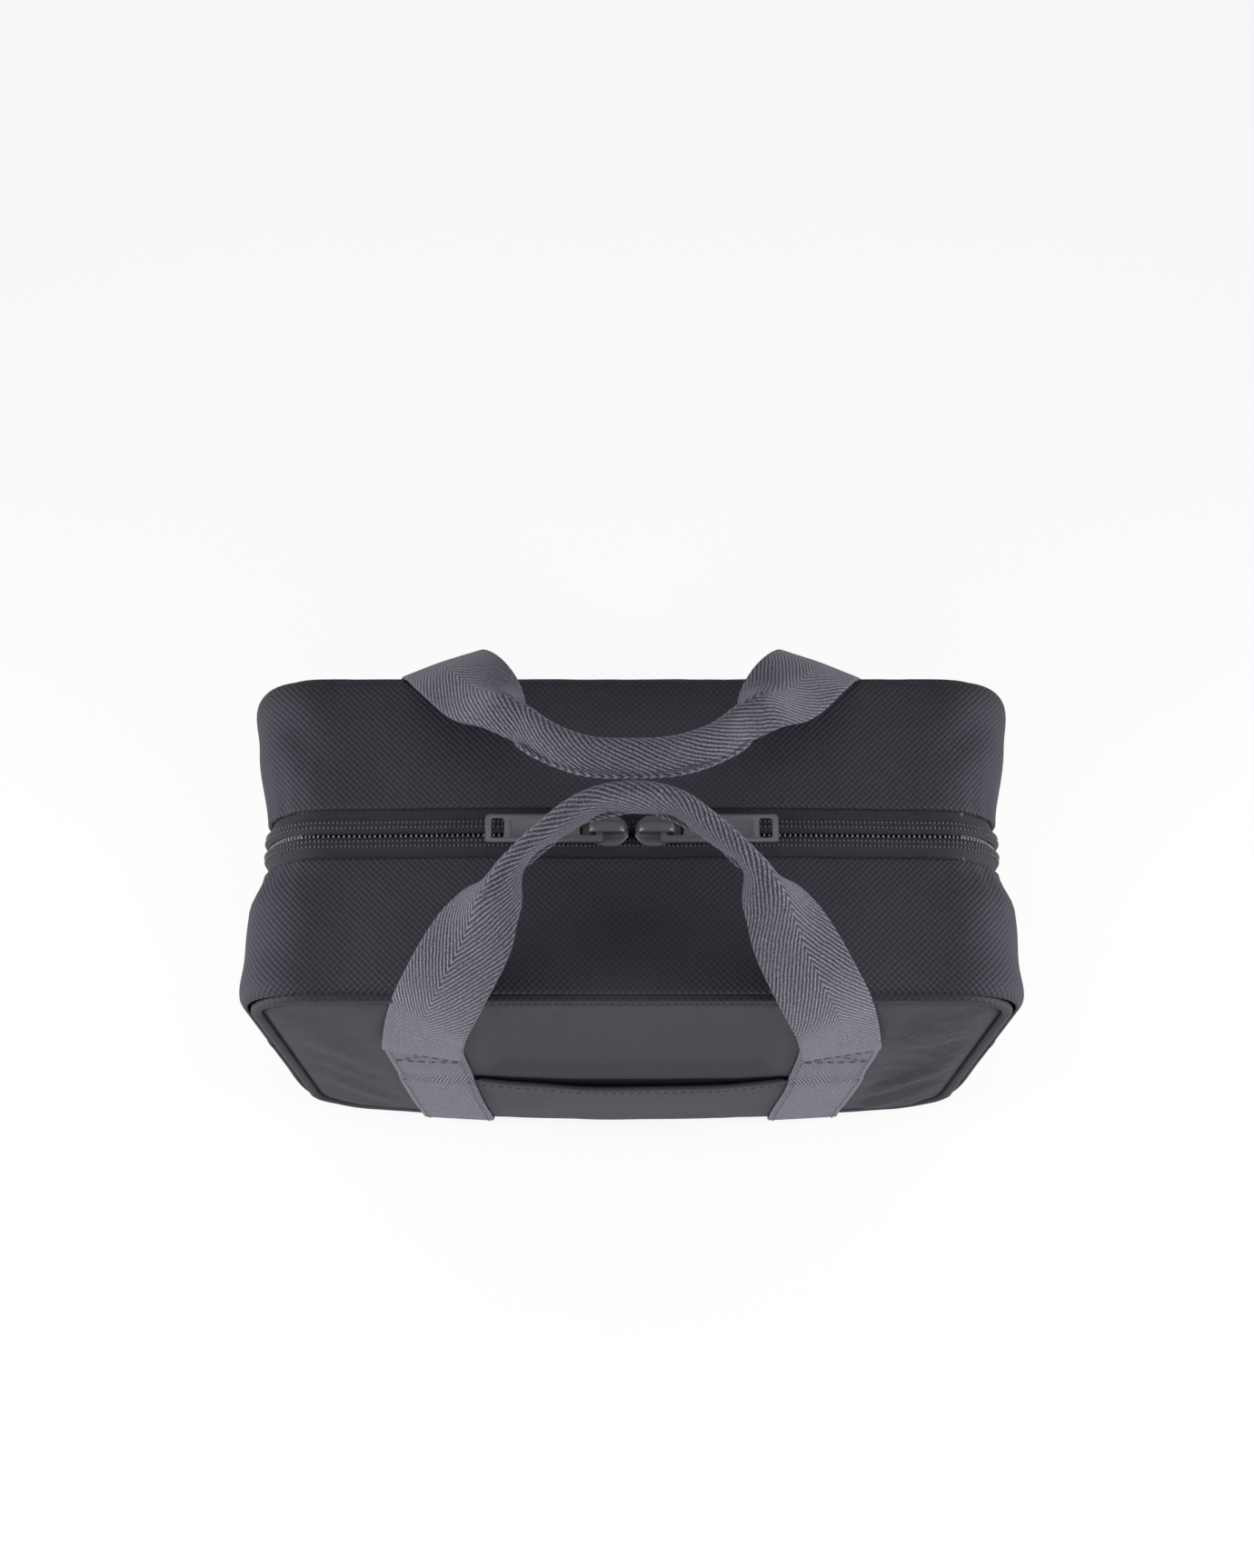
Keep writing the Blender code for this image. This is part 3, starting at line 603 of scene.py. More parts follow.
def flap_weight(s):
    """How far a point on the top follows its half when the zip opens."""
    return smooth((0.101 - np.abs(s)) / 0.074)


def blend_by(ob, weights):
    """Bake the object's transform into its mesh; the per-vertex weights are not used."""
    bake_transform(ob)
    return ob


def s_of(ob):
    """Arc length along the gusset of each vertex, from the top centre."""
    co = np.zeros(len(ob.data.vertices) * 3)
    ob.data.vertices.foreach_get("co", co)
    co = co.reshape(-1, 3)
    x, z = co[:, 0], co[:, 2]
    a = np.abs(x)
    ang = np.arctan2(np.clip(a - FX, 0, 1), np.clip(z - (GUS_TOP - R), 1e-6, 1))
    s = np.where(a <= FX, a, FX + R * ang)
    s = np.where(z < GUS_TOP - R, FX + QL + (GUS_TOP - R - z), s)
    return s


def flap_blend(ob):
    return blend_by(ob, flap_weight(s_of(ob)))


def put(ob, body=None, replaces=()):
    if body:
        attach(ob, body)
    if replaces:
        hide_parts(*replaces)
    return ob


# evenly spaced s positions
def s_samples(lim, step=0.0030):
    n = int(2 * lim / step)
    return np.linspace(-lim, lim, n + 1)


# ============================================================ zipped top halves
S = s_samples(S_LOW + 0.0030)
for side, label in ((-1, "front"), (1, "back")):
    v = [GV - x for x in (0.0, 0.0002, 0.0006, 0.0012, 0.0020, 0.0030, 0.0042, 0.0058)]
    v += list(np.linspace(GV - 0.0080, SLOT + 0.0032, 15))
    v = np.array(v)
    cols = [(vv, shell_off(S, vv, side)) for vv in v]
    # last columns roll over and under at the zip
    rr = 0.0013
    edge_off = shell_off(S, SLOT + 0.0018, side)
    for ang in (0, 25, 50, 75, 100, 130):
        a = math.radians(ang)
        cols.append((SLOT + rr - rr * math.sin(a), edge_off - rr * (1 - math.cos(a))))
    x, z, nx, nz = perim(S)
    P = np.zeros((len(S), len(cols), 3))
    UV = np.zeros((len(S), len(cols), 2))
    dist, last = 0.0, None
    end = smooth((np.abs(S) - S_LOW + 0.0012) / 0.0016) * 0.0016   # tucked under the cross seam
    for j, (vv, off) in enumerate(cols):
        o = off - end
        P[:, j, 0], P[:, j, 1], P[:, j, 2] = x + nx * o, side * vv, z + nz * o
        if last is not None:
            dist += float(np.linalg.norm(P[len(S) // 2, j] - last))
        last = P[len(S) // 2, j].copy()
        UV[:, j, 0], UV[:, j, 1] = S, dist
    P = bellied(P)
    ref = np.stack([nx, np.zeros_like(nx), nz], 1)[:, None, :] * np.ones((1, len(cols), 1))
    ob = sheet(label + "_top_skin", P, UV, 0.0010, MAT["shell"], ref)
    flap_blend(ob)
    put(ob, None, [label + "_top_panel"])
    # inner face of the same half, in lining cloth
    Sl = s_samples(FX + 0.020, 0.004)
    x, z, nx, nz = perim(Sl)
    vs = np.linspace(GV - 0.0055, SLOT + 0.0052, 10)
    P = np.zeros((len(Sl), len(vs), 3))
    UV = np.zeros((len(Sl), len(vs), 2))
    for j, vv in enumerate(vs):
        o = shell_off(Sl, vv, side) - 0.0032 - 0.0004 * vnoise(Sl * 60, vv * 60, 9)
        P[:, j, 0], P[:, j, 1], P[:, j, 2] = x + nx * o, side * vv, z + nz * o
        UV[:, j, 0], UV[:, j, 1] = Sl, vv
    ref = np.stack([nx, np.zeros_like(nx), nz], 1)[:, None, :] * np.ones((1, len(vs), 1))
    ob = sheet(label + "_top_inner", P, UV, 0.0006, MAT["lining"], ref)
    flap_blend(ob)
    put(ob, None, [label + "_top_lining"])


# ========================================================================= zip
def tape_off(s, v):
    e = (shell_off(s, SLOT + 0.0018, -1) + shell_off(s, SLOT + 0.0018, 1)) / 2 - 0
    e = e - (puckers(s, SLOT, -1) + puckers(s, SLOT, 1)) / 2
    hump = 0.00055 * np.exp(-((v - 0.0037) / 0.0024) ** 2)
    lip = -0.0009 * smooth((0.0018 - v) / 0.0014)
    tuck = -0.0006 * smooth((v - 0.0085) / 0.004)
    rip = 0.00030 * pinch(s) * np.sin(np.abs(s) * 2 * PI / 0.0046) * smooth((v - 0.004) / 0.005)
    return e - 0.0021 + 0.0018 * pinch(s) * smooth((0.0105 - v) / 0.008) + hump + lip + tuck + rip


ST = s_samples(S_LOW + 0.0020, 0.0022)
xT, zT, nxT, nzT = perim(ST)
for side, label in ((-1, "front"), (1, "back")):
    vs = np.concatenate([[0.00062, 0.0009, 0.0014, 0.0021], np.linspace(0.0029, 0.0130, 12)])
    P = np.zeros((len(ST), len(vs), 3))
    UV = np.zeros((len(ST), len(vs), 2))
    for j, vv in enumerate(vs):
        o = tape_off(ST, vv)
        P[:, j, 0], P[:, j, 1], P[:, j, 2] = xT + nxT * o, side * vv, zT + nzT * o
        UV[:, j, 0], UV[:, j, 1] = ST, vv
    ref = np.stack([nxT, np.zeros_like(nxT), nzT], 1)[:, None, :] * np.ones((1, len(vs), 1))
    ob = sheet(label + "_tape", P, UV, 0.0006, MAT["tape"], ref)
    flap_blend(ob)
    put(ob, None, [label + "_zip_tape"])
    # two double rows of coil stitching
    runs = []
    for vv in (0.0026, 0.0045):
        o = tape_off(ST, vv)
        pts = np.stack([xT + nxT * o, np.full_like(ST, side * vv), zT + nzT * o], 1)
        nr = np.stack([nxT, np.zeros_like(nxT), nzT], 1)
        runs.append(stitch_run(pts, nr, 0.00105, 0.00052, 0.00046, 0.00002, 6))
    ob = stitches(label + "_coil_stitching", runs, MAT["stitch"])
    flap_blend(ob)
    put(ob, None, [label + "_zip_coil"])
    # coil: teeth that reach over the middle from this side, under the tape
    pitch = 0.00187
    n = int((2 * S_LOW - 0.006) / pitch)
    sc = (np.arange(n) - (n - 1) / 2 + (0.5 if side > 0 else 0)) * pitch
    V, F = [], []
    xs, zs, nxs, nzs = perim(sc)
    for k in range(n):
        if abs(sc[k]) < 0.0062:
            continue
        o = float(tape_off(sc[k:k + 1], 0.0009)[0]) - 0.00045
        c = np.array([xs[k] + nxs[k] * o, 0, zs[k] + nzs[k] * o])
        tan = np.array([nzs[k], 0, -nxs[k]])
        up = np.array([nxs[k], 0, nzs[k]])
        b = len(V)
        tip = -0.00015 if side < 0 else 0.00125
        for yy, rr in ((tip, 0.00020), (tip + 0.0002, 0.00034), (min(tip + 0.0009, 0.0018), 0.00034), (0.0022, 0.00030), (0.0026, 0.00018)):
            for q in range(6):
                w = 2 * PI * q / 6
                V.append(c + np.array([0, side * yy, 0]) + (tan * math.cos(w) + up * math.sin(w)) * rr)
        for j in range(4):
            for q in range(6):
                q2 = (q + 1) % 6
                F.append([b + j * 6 + q, b + (j + 1) * 6 + q, b + (j + 1) * 6 + q2, b + j * 6 + q2])
        F.append([b + q for q in range(6)])
        F.append([b + 24 + q for q in range(6)][::-1])
    # core sheet under the teeth; its near-black colour is painted shade for the gap between the tapes
    vc = np.array([0.00025, 0.0009, 0.0018, 0.0026])
    P = np.zeros((len(ST), len(vc), 3))
    UV = np.zeros((len(ST), len(vc), 2))
    for j, vv in enumerate(vc):
        o = tape_off(ST, 0.0012) - 0.00110
        P[:, j, 0], P[:, j, 1], P[:, j, 2] = xT + nxT * o, side * vv, zT + nzT * o
        UV[:, j, 0], UV[:, j, 1] = ST, vv
    ref = np.stack([nxT, np.zeros_like(nxT), nzT], 1)[:, None, :] * np.ones((1, len(vc), 1))
    ob = sheet(label + "_coil_core_painted_shade", P, UV, 0.0010, MAT["core"], ref)
    flap_blend(ob)
    put(ob, None)
    # the teeth are coloured light grey as a painted highlight, dotting the dark centre line
    ob = stitches(label + "_coil_teeth", [(V, F)], MAT["tooth_painted_highlight"])
    flap_blend(ob)
    put(ob, None)

for label in ("left", "right"):
    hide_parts(label + "_side_zip_tape")
    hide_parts(label + "_side_zip_coil")


# ============================================================== bottom gusset
sr = np.concatenate([np.linspace(S_LOW, FX + QL + SL, 24)[:-1],
                     np.linspace(FX + QL + SL, FX + 2 * QL + SL, 14)[:-1],
                     np.linspace(FX + 2 * QL + SL, S_BOT, 40)])
xr, zr, nxr, nzr = perim(sr)
X = np.concatenate([xr, -xr[::-1][1:]])
Z = np.concatenate([zr, zr[::-1][1:]])
NX = np.concatenate([nxr, -nxr[::-1][1:]])
NZ = np.concatenate([nzr, nzr[::-1][1:]])
SS = np.concatenate([sr, 2 * S_BOT - sr[::-1][1:]])
s_side = np.concatenate([sr, sr[::-1][1:]])
wv = np.array([0.0, 0.0002, 0.0006, 0.0012, 0.0020, 0.0030, 0.0042, 0.0058, 0.0080])
vs = np.concatenate([-(GV - wv), np.linspace(-(GV - 0.0110), GV - 0.0110, 27), (GV - wv)[::-1]])
P = np.zeros((len(X), len(vs), 3))
UV = np.zeros((len(X), len(vs), 2))
from_top = s_side - S_LOW
round_bottom = 1 - smooth((s_side - (S_BOT - FX - QL)) / 0.035)
for j, vv in enumerate(vs):
    w = GV - abs(vv)
    t = np.clip(w / (GV - SLOT), 0, 1)
    o = shoulder(w) + flare(s_side, w) + 0.0004 * np.sin(PI * min(1.0, float(t))) ** 0.85 * round_bottom
    sd = 1.0 if vv > 0 else -1.0
    reach = 0.0150 if sd < 0 else 0.0300
    o = o - 0.0046 * pinch(s_side) * smooth(1 - (abs(vv) - SLOT) / reach) * np.exp(-(from_top / 0.030) ** 2)
    o = o - 0.0005 * np.exp(-((from_top - 0.0050) / 0.0009) ** 2)          # topstitch line
    o = o + 0.0004 * round_bottom * vnoise(s_side * 40, np.full_like(s_side, vv * 40), 3)
    o = o + 0.0003 * (1 - smooth((from_top - 0.0040) / 0.0016))
    P[:, j, 0], P[:, j, 1], P[:, j, 2] = X + NX * o, vv, np.maximum(Z + NZ * o, 0.00002)
    UV[:, j, 0], UV[:, j, 1] = SS, vv
P = bellied(P)
ref = np.stack([NX, np.zeros_like(NX), NZ], 1)[:, None, :] * np.ones((1, len(vs), 1))
ob = sheet("bottom_gusset", P, UV, 0.0010, MAT["shell"], ref)
put(ob, "bag_body", ["base_panel", "left_side_panel", "right_side_panel"])
Ng = normals_of(P, ref)
runs = []
for sgn in (1, -1):
    k = 4 if sgn > 0 else len(X) - 5
    row = P[k] if sgn > 0 else P[k]
    runs.append(stitch_run(row[7:-7], Ng[k][7:-7], 0.0026, 0.0010, 0.00026, 0.0))
ob = stitches("cross_seam_stitching", runs, MAT["thread_dark"])
put(ob, "bag_body")


# ============================================================ front/back panels
def rr_grid(hw, z0, z1, r, step):
    """A grid over a rounded rectangle, X and Z."""
    cx, cz = (z0 + z1) * 0, (z0 + z1) / 2
    hh = (z1 - z0) / 2
    nr = max(3, int(r / step))
    nx = int(2 * (hw - r) / step)
    nz = int(2 * (hh - r) / step)
    a = np.concatenate([np.linspace(-1, 0, nr + 1)[:-1] * r - (hw - r), np.linspace(-(hw - r), hw - r, nx + 1),
                        np.linspace(0, 1, nr + 1)[1:] * r + hw - r])
    b = np.concatenate([np.linspace(-1, 0, nr + 1)[:-1] * r - (hh - r), np.linspace(-(hh - r), hh - r, nz + 1),
                        np.linspace(0, 1, nr + 1)[1:] * r + hh - r])
    A, B = np.meshgrid(a, b, indexing="ij")
    ex = np.clip((np.abs(A) - (hw - r)) / r, 0, 1)
    ez = np.clip((np.abs(B) - (hh - r)) / r, 0, 1)
    mx = ex * np.sqrt(1 - ez ** 2 / 2)
    mz = ez * np.sqrt(1 - ex ** 2 / 2)
    Xg = np.where(np.abs(A) > hw - r, np.sign(A) * (hw - r + mx * r), A)
    Zg = np.where(np.abs(B) > hh - r, np.sign(B) * (hh - r + mz * r), B)
    # distance to the outline, for the roll into the seam
    dx = np.abs(Xg) - (hw - r)
    dz = np.abs(Zg) - (hh - r)
    d = r - np.where((dx > 0) & (dz > 0), np.hypot(np.clip(dx, 0, 1), np.clip(dz, 0, 1)), np.maximum(dx, dz))
    return Xg, Zg + cz, np.clip(d, 0, 1)


def wrinkles(x, z, side):
    """Tension creases that run from the webbing to the lower corners."""
    out = 0
    sx = np.abs(x)
    k = np.where(x > 0, 1.1, 0.28) if side < 0 else 0.4
    # direction: down and outward
    c = ((sx - 0.094) * 0.62 + (z - 0.150) * 0.78)
    l = ((sx - 0.094) * 0.78 - (z - 0.150) * 0.62)
    env = smooth((sx - 0.093) / 0.008) * smooth((0.134 - sx) / 0.012) * smooth((z - 0.02) / 0.05) * smooth((0.176 - z) / 0.02)
    out = 0.00055 * k * env * (np.sin(c * 2 * PI / 0.0155 + 0.6 * np.sin(l * 60)) + 0.5 * np.sin(c * 2 * PI / 0.0083 + 1.0))
    out = out + 0.0005 * vnoise(x * 22, z * 22, 5 + side) + 0.00022 * vnoise(x * 60, z * 60, 6 + side)
    return out


RING_HW, RING_Z0, RING_Z1, RING_R = GUS_HW - 0.0044, 0.0042, GUS_TOP - 0.0044, R - 0.0044
EDGE_HW, EDGE_Z0, EDGE_Z1 = RING_HW - 0.0012, RING_Z0 + 0.0012, RING_Z1 - 0.0012


def panel_y(x, z, side, d=None):
    """Distance of a panel's outer face from the centre plane."""
    hh = (EDGE_Z1 - EDGE_Z0) / 2
    zz = (z - (EDGE_Z0 + EDGE_Z1) / 2) / hh
    crown = 0.0034 * np.clip(1 - (x / EDGE_HW) ** 2, 0, 1) ** 0.6 * np.clip(1 - zz ** 2, 0, 1) ** 0.55
    y = PAN_Y + bow(x, z) + crown
    if d is None:
        dx, dz = EDGE_HW - np.abs(x), np.minimum(z - EDGE_Z0, EDGE_Z1 - z)
        d = np.clip(np.minimum(dx, dz), 0, 1)
    edge = smooth(d / 0.018)
    y = y + wrinkles(x, z, side) * edge
    return y - 0.0017 * np.exp(-(d / 0.0020) ** 2)


def settle(P, pin, mask, side, cap=0.0030):
    """Cloth run on a panel's outer layer: held round its seam, a little too
    big for it and pushed out by the padding. Free movement is capped, and kept
    away from what is sewn on top."""
    n, m = P.shape[:2]
    quad = [(i * m + j, (i + 1) * m + j, (i + 1) * m + j + 1, i * m + j + 1) for i in range(n - 1) for j in range(m - 1)]
    if side > 0:
        quad = [q[::-1] for q in quad]
    me = bpy.data.meshes.new("settle")
    me.from_pydata([tuple(float(c) for c in p) for p in P.reshape(-1, 3)], [], quad)
    ob = bpy.data.objects.new("settle", me)
    scene.collection.objects.link(ob)
    vg = ob.vertex_groups.new(name="pin")
    vg.add([int(i) for i in np.nonzero(pin.reshape(-1))[0]], 1.0, "REPLACE")
    md = ob.modifiers.new("cloth", "CLOTH")
    st = md.settings
    st.quality = 6
    st.mass = 0.35
    st.tension_stiffness = st.compression_stiffness = 18
    st.shear_stiffness = 6
    st.bending_stiffness = 0.6
    st.vertex_group_mass = "pin"
    st.shrink_min = -0.014
    st.use_pressure = True
    st.uniform_pressure_force = 1.5
    st.effector_weights.gravity = 0.3
    md.point_cache.frame_start, md.point_cache.frame_end = 1, 24
    for f in range(1, 23):
        scene.frame_set(f)
    ev = ob.evaluated_get(bpy.context.evaluated_depsgraph_get())
    co = np.zeros(n * m * 3)
    ev.data.vertices.foreach_get("co", co)
    scene.frame_set(1)
    bpy.data.objects.remove(ob)
    bpy.data.meshes.remove(me)
    d = co.reshape(n, m, 3) - P
    size = np.linalg.norm(d, axis=2)
    print("settle: largest move mm", round(float(size.max()) * 1000, 2), "mean", round(float(size.mean()) * 1000, 2))
    if not np.isfinite(size).all():
        return P
    d = d * (cap * np.tanh(size / cap) / np.maximum(size, 1e-9))[..., None]
    return P + d * mask[..., None]


for side, label in ((-1, "front"), (1, "back")):
    Xg, Zg, D = rr_grid(EDGE_HW, EDGE_Z0, EDGE_Z1, RING_R - 0.0012, 0.0030)
    Y = side * panel_y(Xg, Zg, side, D)
    P = np.stack([Xg, Y, Zg], 2)
    ax = np.abs(Xg)
    outer = smooth((ax - LEG_X - WEB_W / 2 - 0.0020) / 0.008)
    inner = smooth((LEG_X - WEB_W / 2 - 0.0060 - ax) / 0.008)
    if side < 0:
        inner = inner * smooth((Zg - PKT_TOP - 0.0030) / 0.010)
        outer = outer * smooth((ax - PKT_HW - 0.0010) / 0.006) + outer * (ax <= PKT_HW + 0.0010) * smooth((Zg - PKT_TOP - 0.0030) / 0.010)
        outer = outer * np.where(Xg < 0, 0.40, 0.95)
    P = settle(P, D < 0.0042, (outer + inner) * smooth((D - 0.003) / 0.006), side)
    UV = np.stack([Xg, Zg], 2)
    ref = np.zeros_like(P)
    ref[..., 1] = side
    ob = sheet(label + "_panel_skin", P, UV, 0.0010, MAT["shell"], ref)
    put(ob, "bag_body", [label + "_panel"])

# ------------------------------------------------------------------- piping
for side, label in ((-1, "front"), (1, "back")):
    n_arc, pr = 16, (0.00200 if side < 0 else 0.00185)
    hw, z0, z1, r = RING_HW, RING_Z0, RING_Z1, RING_R
    pts = []
    def line(a, b, n):
        return [tuple(np.array(a) * (1 - k / n) + np.array(b) * k / n) for k in range(n)]
    def arc(cx, cz, a0):
        return [(cx + r * math.cos(math.radians(a0 + 90 * k / n_arc)), cz + r * math.sin(math.radians(a0 + 90 * k / n_arc))) for k in range(n_arc)]
    pts += arc(hw - r, z1 - r, 0) + line((hw - r, z1), (-hw + r, z1), 64)
    pts += arc(-hw + r, z1 - r, 90) + line((-hw, z1 - r), (-hw, z0 + r), 40)
    pts += arc(-hw + r, z0 + r, 180) + line((-hw + r, z0), (hw - r, z0), 64)
    pts += arc(hw - r, z0 + r, 270) + line((hw, z0 + r), (hw, z1 - r), 40)
    pts = np.array(pts)
    nxt, prv = np.roll(pts, -1, 0), np.roll(pts, 1, 0)
    tan = nxt - prv
    tan /= np.linalg.norm(tan, axis=1)[:, None]
    outw = np.stack([tan[:, 1], -tan[:, 0]], 1)
    seg = np.linalg.norm(nxt - pts, axis=1)
    along = np.concatenate([[0], np.cumsum(seg)])
    ns = 14
    L = np.zeros((len(pts), ns, 3))
    U = np.zeros((len(pts) + 1, ns + 1, 2))
    yc = side * (0.0603 if side < 0 else 0.0592)
    for k in range(ns):
        w = 2 * PI * k / ns
        rr = pr + 0.00010 * vnoise(along[:-1] * 160, np.full(len(pts), k * 0.7), 2 + side) \
            + 0.00001 * np.sin(along[:-1] / 0.0031 * 2 * PI + w)
        L[:, k, 0] = pts[:, 0] + outw[:, 0] * math.cos(w) * rr
        L[:, k, 2] = pts[:, 1] + outw[:, 1] * math.cos(w) * rr
        L[:, k, 1] = yc + math.sin(w) * rr
    for k in range(ns + 1):
        U[:, k, 0] = along
        U[:, k, 1] = 2 * PI * k / ns * pr
    L = bellied(L)
    L[..., 2] = np.maximum(L[..., 2], 0.00005)
    ob = loops_to_mesh(label + "_piping_cord", L, U, MAT["pipe"], close_path=True)
    put(ob, "bag_body", [label + "_piping"])

# ----------------------------------------------------------- front slip pocket
def pocket_gap(x, z):
    """How far the pocket panel stands off the panel behind it."""
    t = np.clip((z - PKT_LOW) / (PKT_TOP - PKT_LOW), 0, 1)
    mouth = np.clip(1 - (x / 0.0615) ** 2, 0, 1) ** 0.8
    return 0.0003 + (0.0004 + 0.0022 * mouth) * t ** 1.6


def lip_drop(x):
    """The mouth edge sags a little in the middle."""
    return 0.0008 * np.clip(1 - (x / 0.062) ** 2, 0, 1)


px = np.linspace(-PKT_HW + 0.001, PKT_HW - 0.001, 71)
tz = np.concatenate([np.linspace(0, 0.93, 20), [0.96, 0.98, 0.993, 1.0]])
Xp, Tp = np.meshgrid(px, tz, indexing="ij")
Zp = PKT_LOW + Tp * (PKT_TOP - lip_drop(Xp) - PKT_LOW)
Yp = panel_y(Xp, Zp, -1) + pocket_gap(Xp, Zp) + 0.0011
Yp = Yp + 0.0003 * vnoise(Xp * 45, Zp * 45, 8)
P = np.stack([Xp, -Yp, Zp], 2)
ref = np.zeros_like(P)
ref[..., 1] = -1
ob = sheet("pocket_panel_skin", P, np.stack([Xp, Zp], 2), 0.0010, MAT["shell"], ref)
put(ob, "bag_body", ["front_pocket_panel"])

# binding folded over the lip, with its stitching
bxs = np.linspace(-0.0605, 0.0605, 81)
zt = PKT_TOP - lip_drop(bxs)
yo = panel_y(bxs, zt, -1) + pocket_gap(bxs, zt) + 0.0011 + 0.0003 * vnoise(bxs * 45, zt * 45, 8)
L, U = [], []
prof = [(0.00075, -0.0052), (0.0008, -0.0030), (0.0008, -0.0008), (0.00060, 0.0004), (0.0, 0.0009), (-0.0010, 0.0009),
        (-0.0016, 0.0004), (-0.0018, -0.0008), (-0.0018, -0.0040), (-0.0013, -0.0042), (-0.0012, -0.0010), (-0.0008, 0.0),
        (-0.0002, 0.0), (0.00020, -0.0008), (0.00020, -0.0030), (0.00020, -0.0052)]
slope = np.gradient(yo, zt + 1e-9 * np.arange(len(zt)))
for i in range(len(bxs)):
    row = []
    for dy, dz in prof:
        zz = zt[i] + dz
        base = panel_y(bxs[i:i + 1], np.array([min(zz, zt[i])]), -1)[0] + pocket_gap(bxs[i:i + 1], np.array([min(zz, zt[i])]))[0] + 0.0011 \
            + 0.0003 * vnoise(bxs[i] * 45, min(zz, zt[i]) * 45, 8)
        row.append((bxs[i], -(base + dy * 0.8), zz))
    L.append(row)
    cum = [0]
    for a, b in zip(prof, prof[1:] + prof[:1]):
        cum.append(cum[-1] + math.hypot(a[0] - b[0], a[1] - b[1]))
    U.append([(bxs[i], c) for c in cum])
ob = loops_to_mesh("pocket_mouth_edge", np.array(L), np.array(U), MAT["pipe"])
put(ob, "bag_body", ["pocket_mouth_binding"])
zz = zt - 0.0037
yy = panel_y(bxs, zz, -1) + pocket_gap(bxs, zz) + 0.0011 + 0.00075 + 0.0003 * vnoise(bxs * 45, zz * 45, 8)
ob = stitches("pocket_mouth_stitching",
              [stitch_run(np.stack([bxs, -yy, zz], 1), np.tile([0, -1.0, 0], (len(bxs), 1)), 0.0024, 0.0010, 0.00024, 0.0)],
              MAT["thread_dark"])
put(ob, "bag_body")

# =============================================================== sewn webbing
WT = 0.0015


def leg_y(x, z, side):
    y = panel_y(x, z, side)
    if side < 0:
        under = 0.0015 * (1 - smooth((z - PKT_TOP + 0.002) / 0.006))
        y = y + under
    return y + 0.00035


def leg_x(sx, z):
    """The sewn legs lean in a little towards the base."""
    return sx * (LEG_X - 0.0042 * np.clip((FOLD_Z - 0.014 - z) / 0.090, 0, 1))


for side, label in ((-1, "front"), (1, "back")):
    for sx, lr in ((-1, "left"), (1, "right")):
        zs = np.linspace(LEG_Z0 - 0.0012, FOLD_Z + 0.0012, 44)
        nq = 14
        q = np.linspace(-1, 1, nq + 1)
        hw = WEB_W / 2
        L, U = [], []
        for zc in zs:
            xq = leg_x(sx, zc) + q * (hw - 0.0004)
            yq = leg_y(xq, np.full_like(xq, zc), side)
            zq = zc + sx * 0.0030 * (xq - sx * LEG_X) / WEB_W * smooth((zc - 0.110) / 0.023)
            front = [(a, side * (b + WT), c) for a, b, c in zip(xq, yq, zq)]
            back = [(a, side * b, c) for a, b, c in zip(xq, yq, zq)]
            e1 = (xq[-1] + 0.0004, side * (yq[-1] + WT / 2), zq[-1])
            e0 = (xq[0] - 0.0004, side * (yq[0] + WT / 2), zq[0])
            L.append(front + [e1] + back[::-1] + [e0])
            uu = list(q * hw * -sx) + [hw * -sx] + list(q[::-1] * hw * -sx) + [-hw * -sx, -hw * -sx]
            U.append([(a, zc) for a in uu])
        ob = loops_to_mesh(f"{label}_{lr}_leg_webbing", np.array(L), np.array(U), MAT["web"])
        put(ob, "bag_body", [f"{label}_{lr}_strap_leg"])
        # edge stitching, and the stitched box under the fold
        runs = []
        for e in (-1, 1):
            z1 = np.linspace(LEG_Z0 + 0.001, FOLD_Z - 0.004, 60)
            xe = leg_x(sx, z1) + e * (hw - 0.0022)
            yv = leg_y(xe, z1, side) + WT
            runs.append(stitch_run(np.stack([xe, side * yv, z1], 1),
                                   np.tile([0, side, 0], (len(z1), 1)), 0.0028, 0.0011, 0.00030, -0.00004))
        bx0, bx1 = sx * LEG_X - hw + 0.0022, sx * LEG_X + hw - 0.0022
        bz0, bz1 = FOLD_Z - 0.020, FOLD_Z - 0.004
        for (xa, za), (xb, zb) in (((bx0, bz1), (bx1, bz1)), ((bx0, bz0), (bx1, bz0)),
                                   ((bx0, bz0), (bx1, bz1)), ((bx0, bz1), (bx1, bz0))):
            t = np.linspace(0, 1, 20)
            xx, zz2 = xa + (xb - xa) * t, za + (zb - za) * t
            yv = leg_y(xx, zz2, side) + WT
            runs.append(stitch_run(np.stack([xx, side * yv, zz2], 1), np.tile([0, side, 0], (20, 1)),
                                   0.0030, 0.0008, 0.00042, -0.00004))
        ob = stitches(f"{label}_{lr}_leg_stitching", runs, MAT["thread_dark"])
        put(ob, "bag_body")

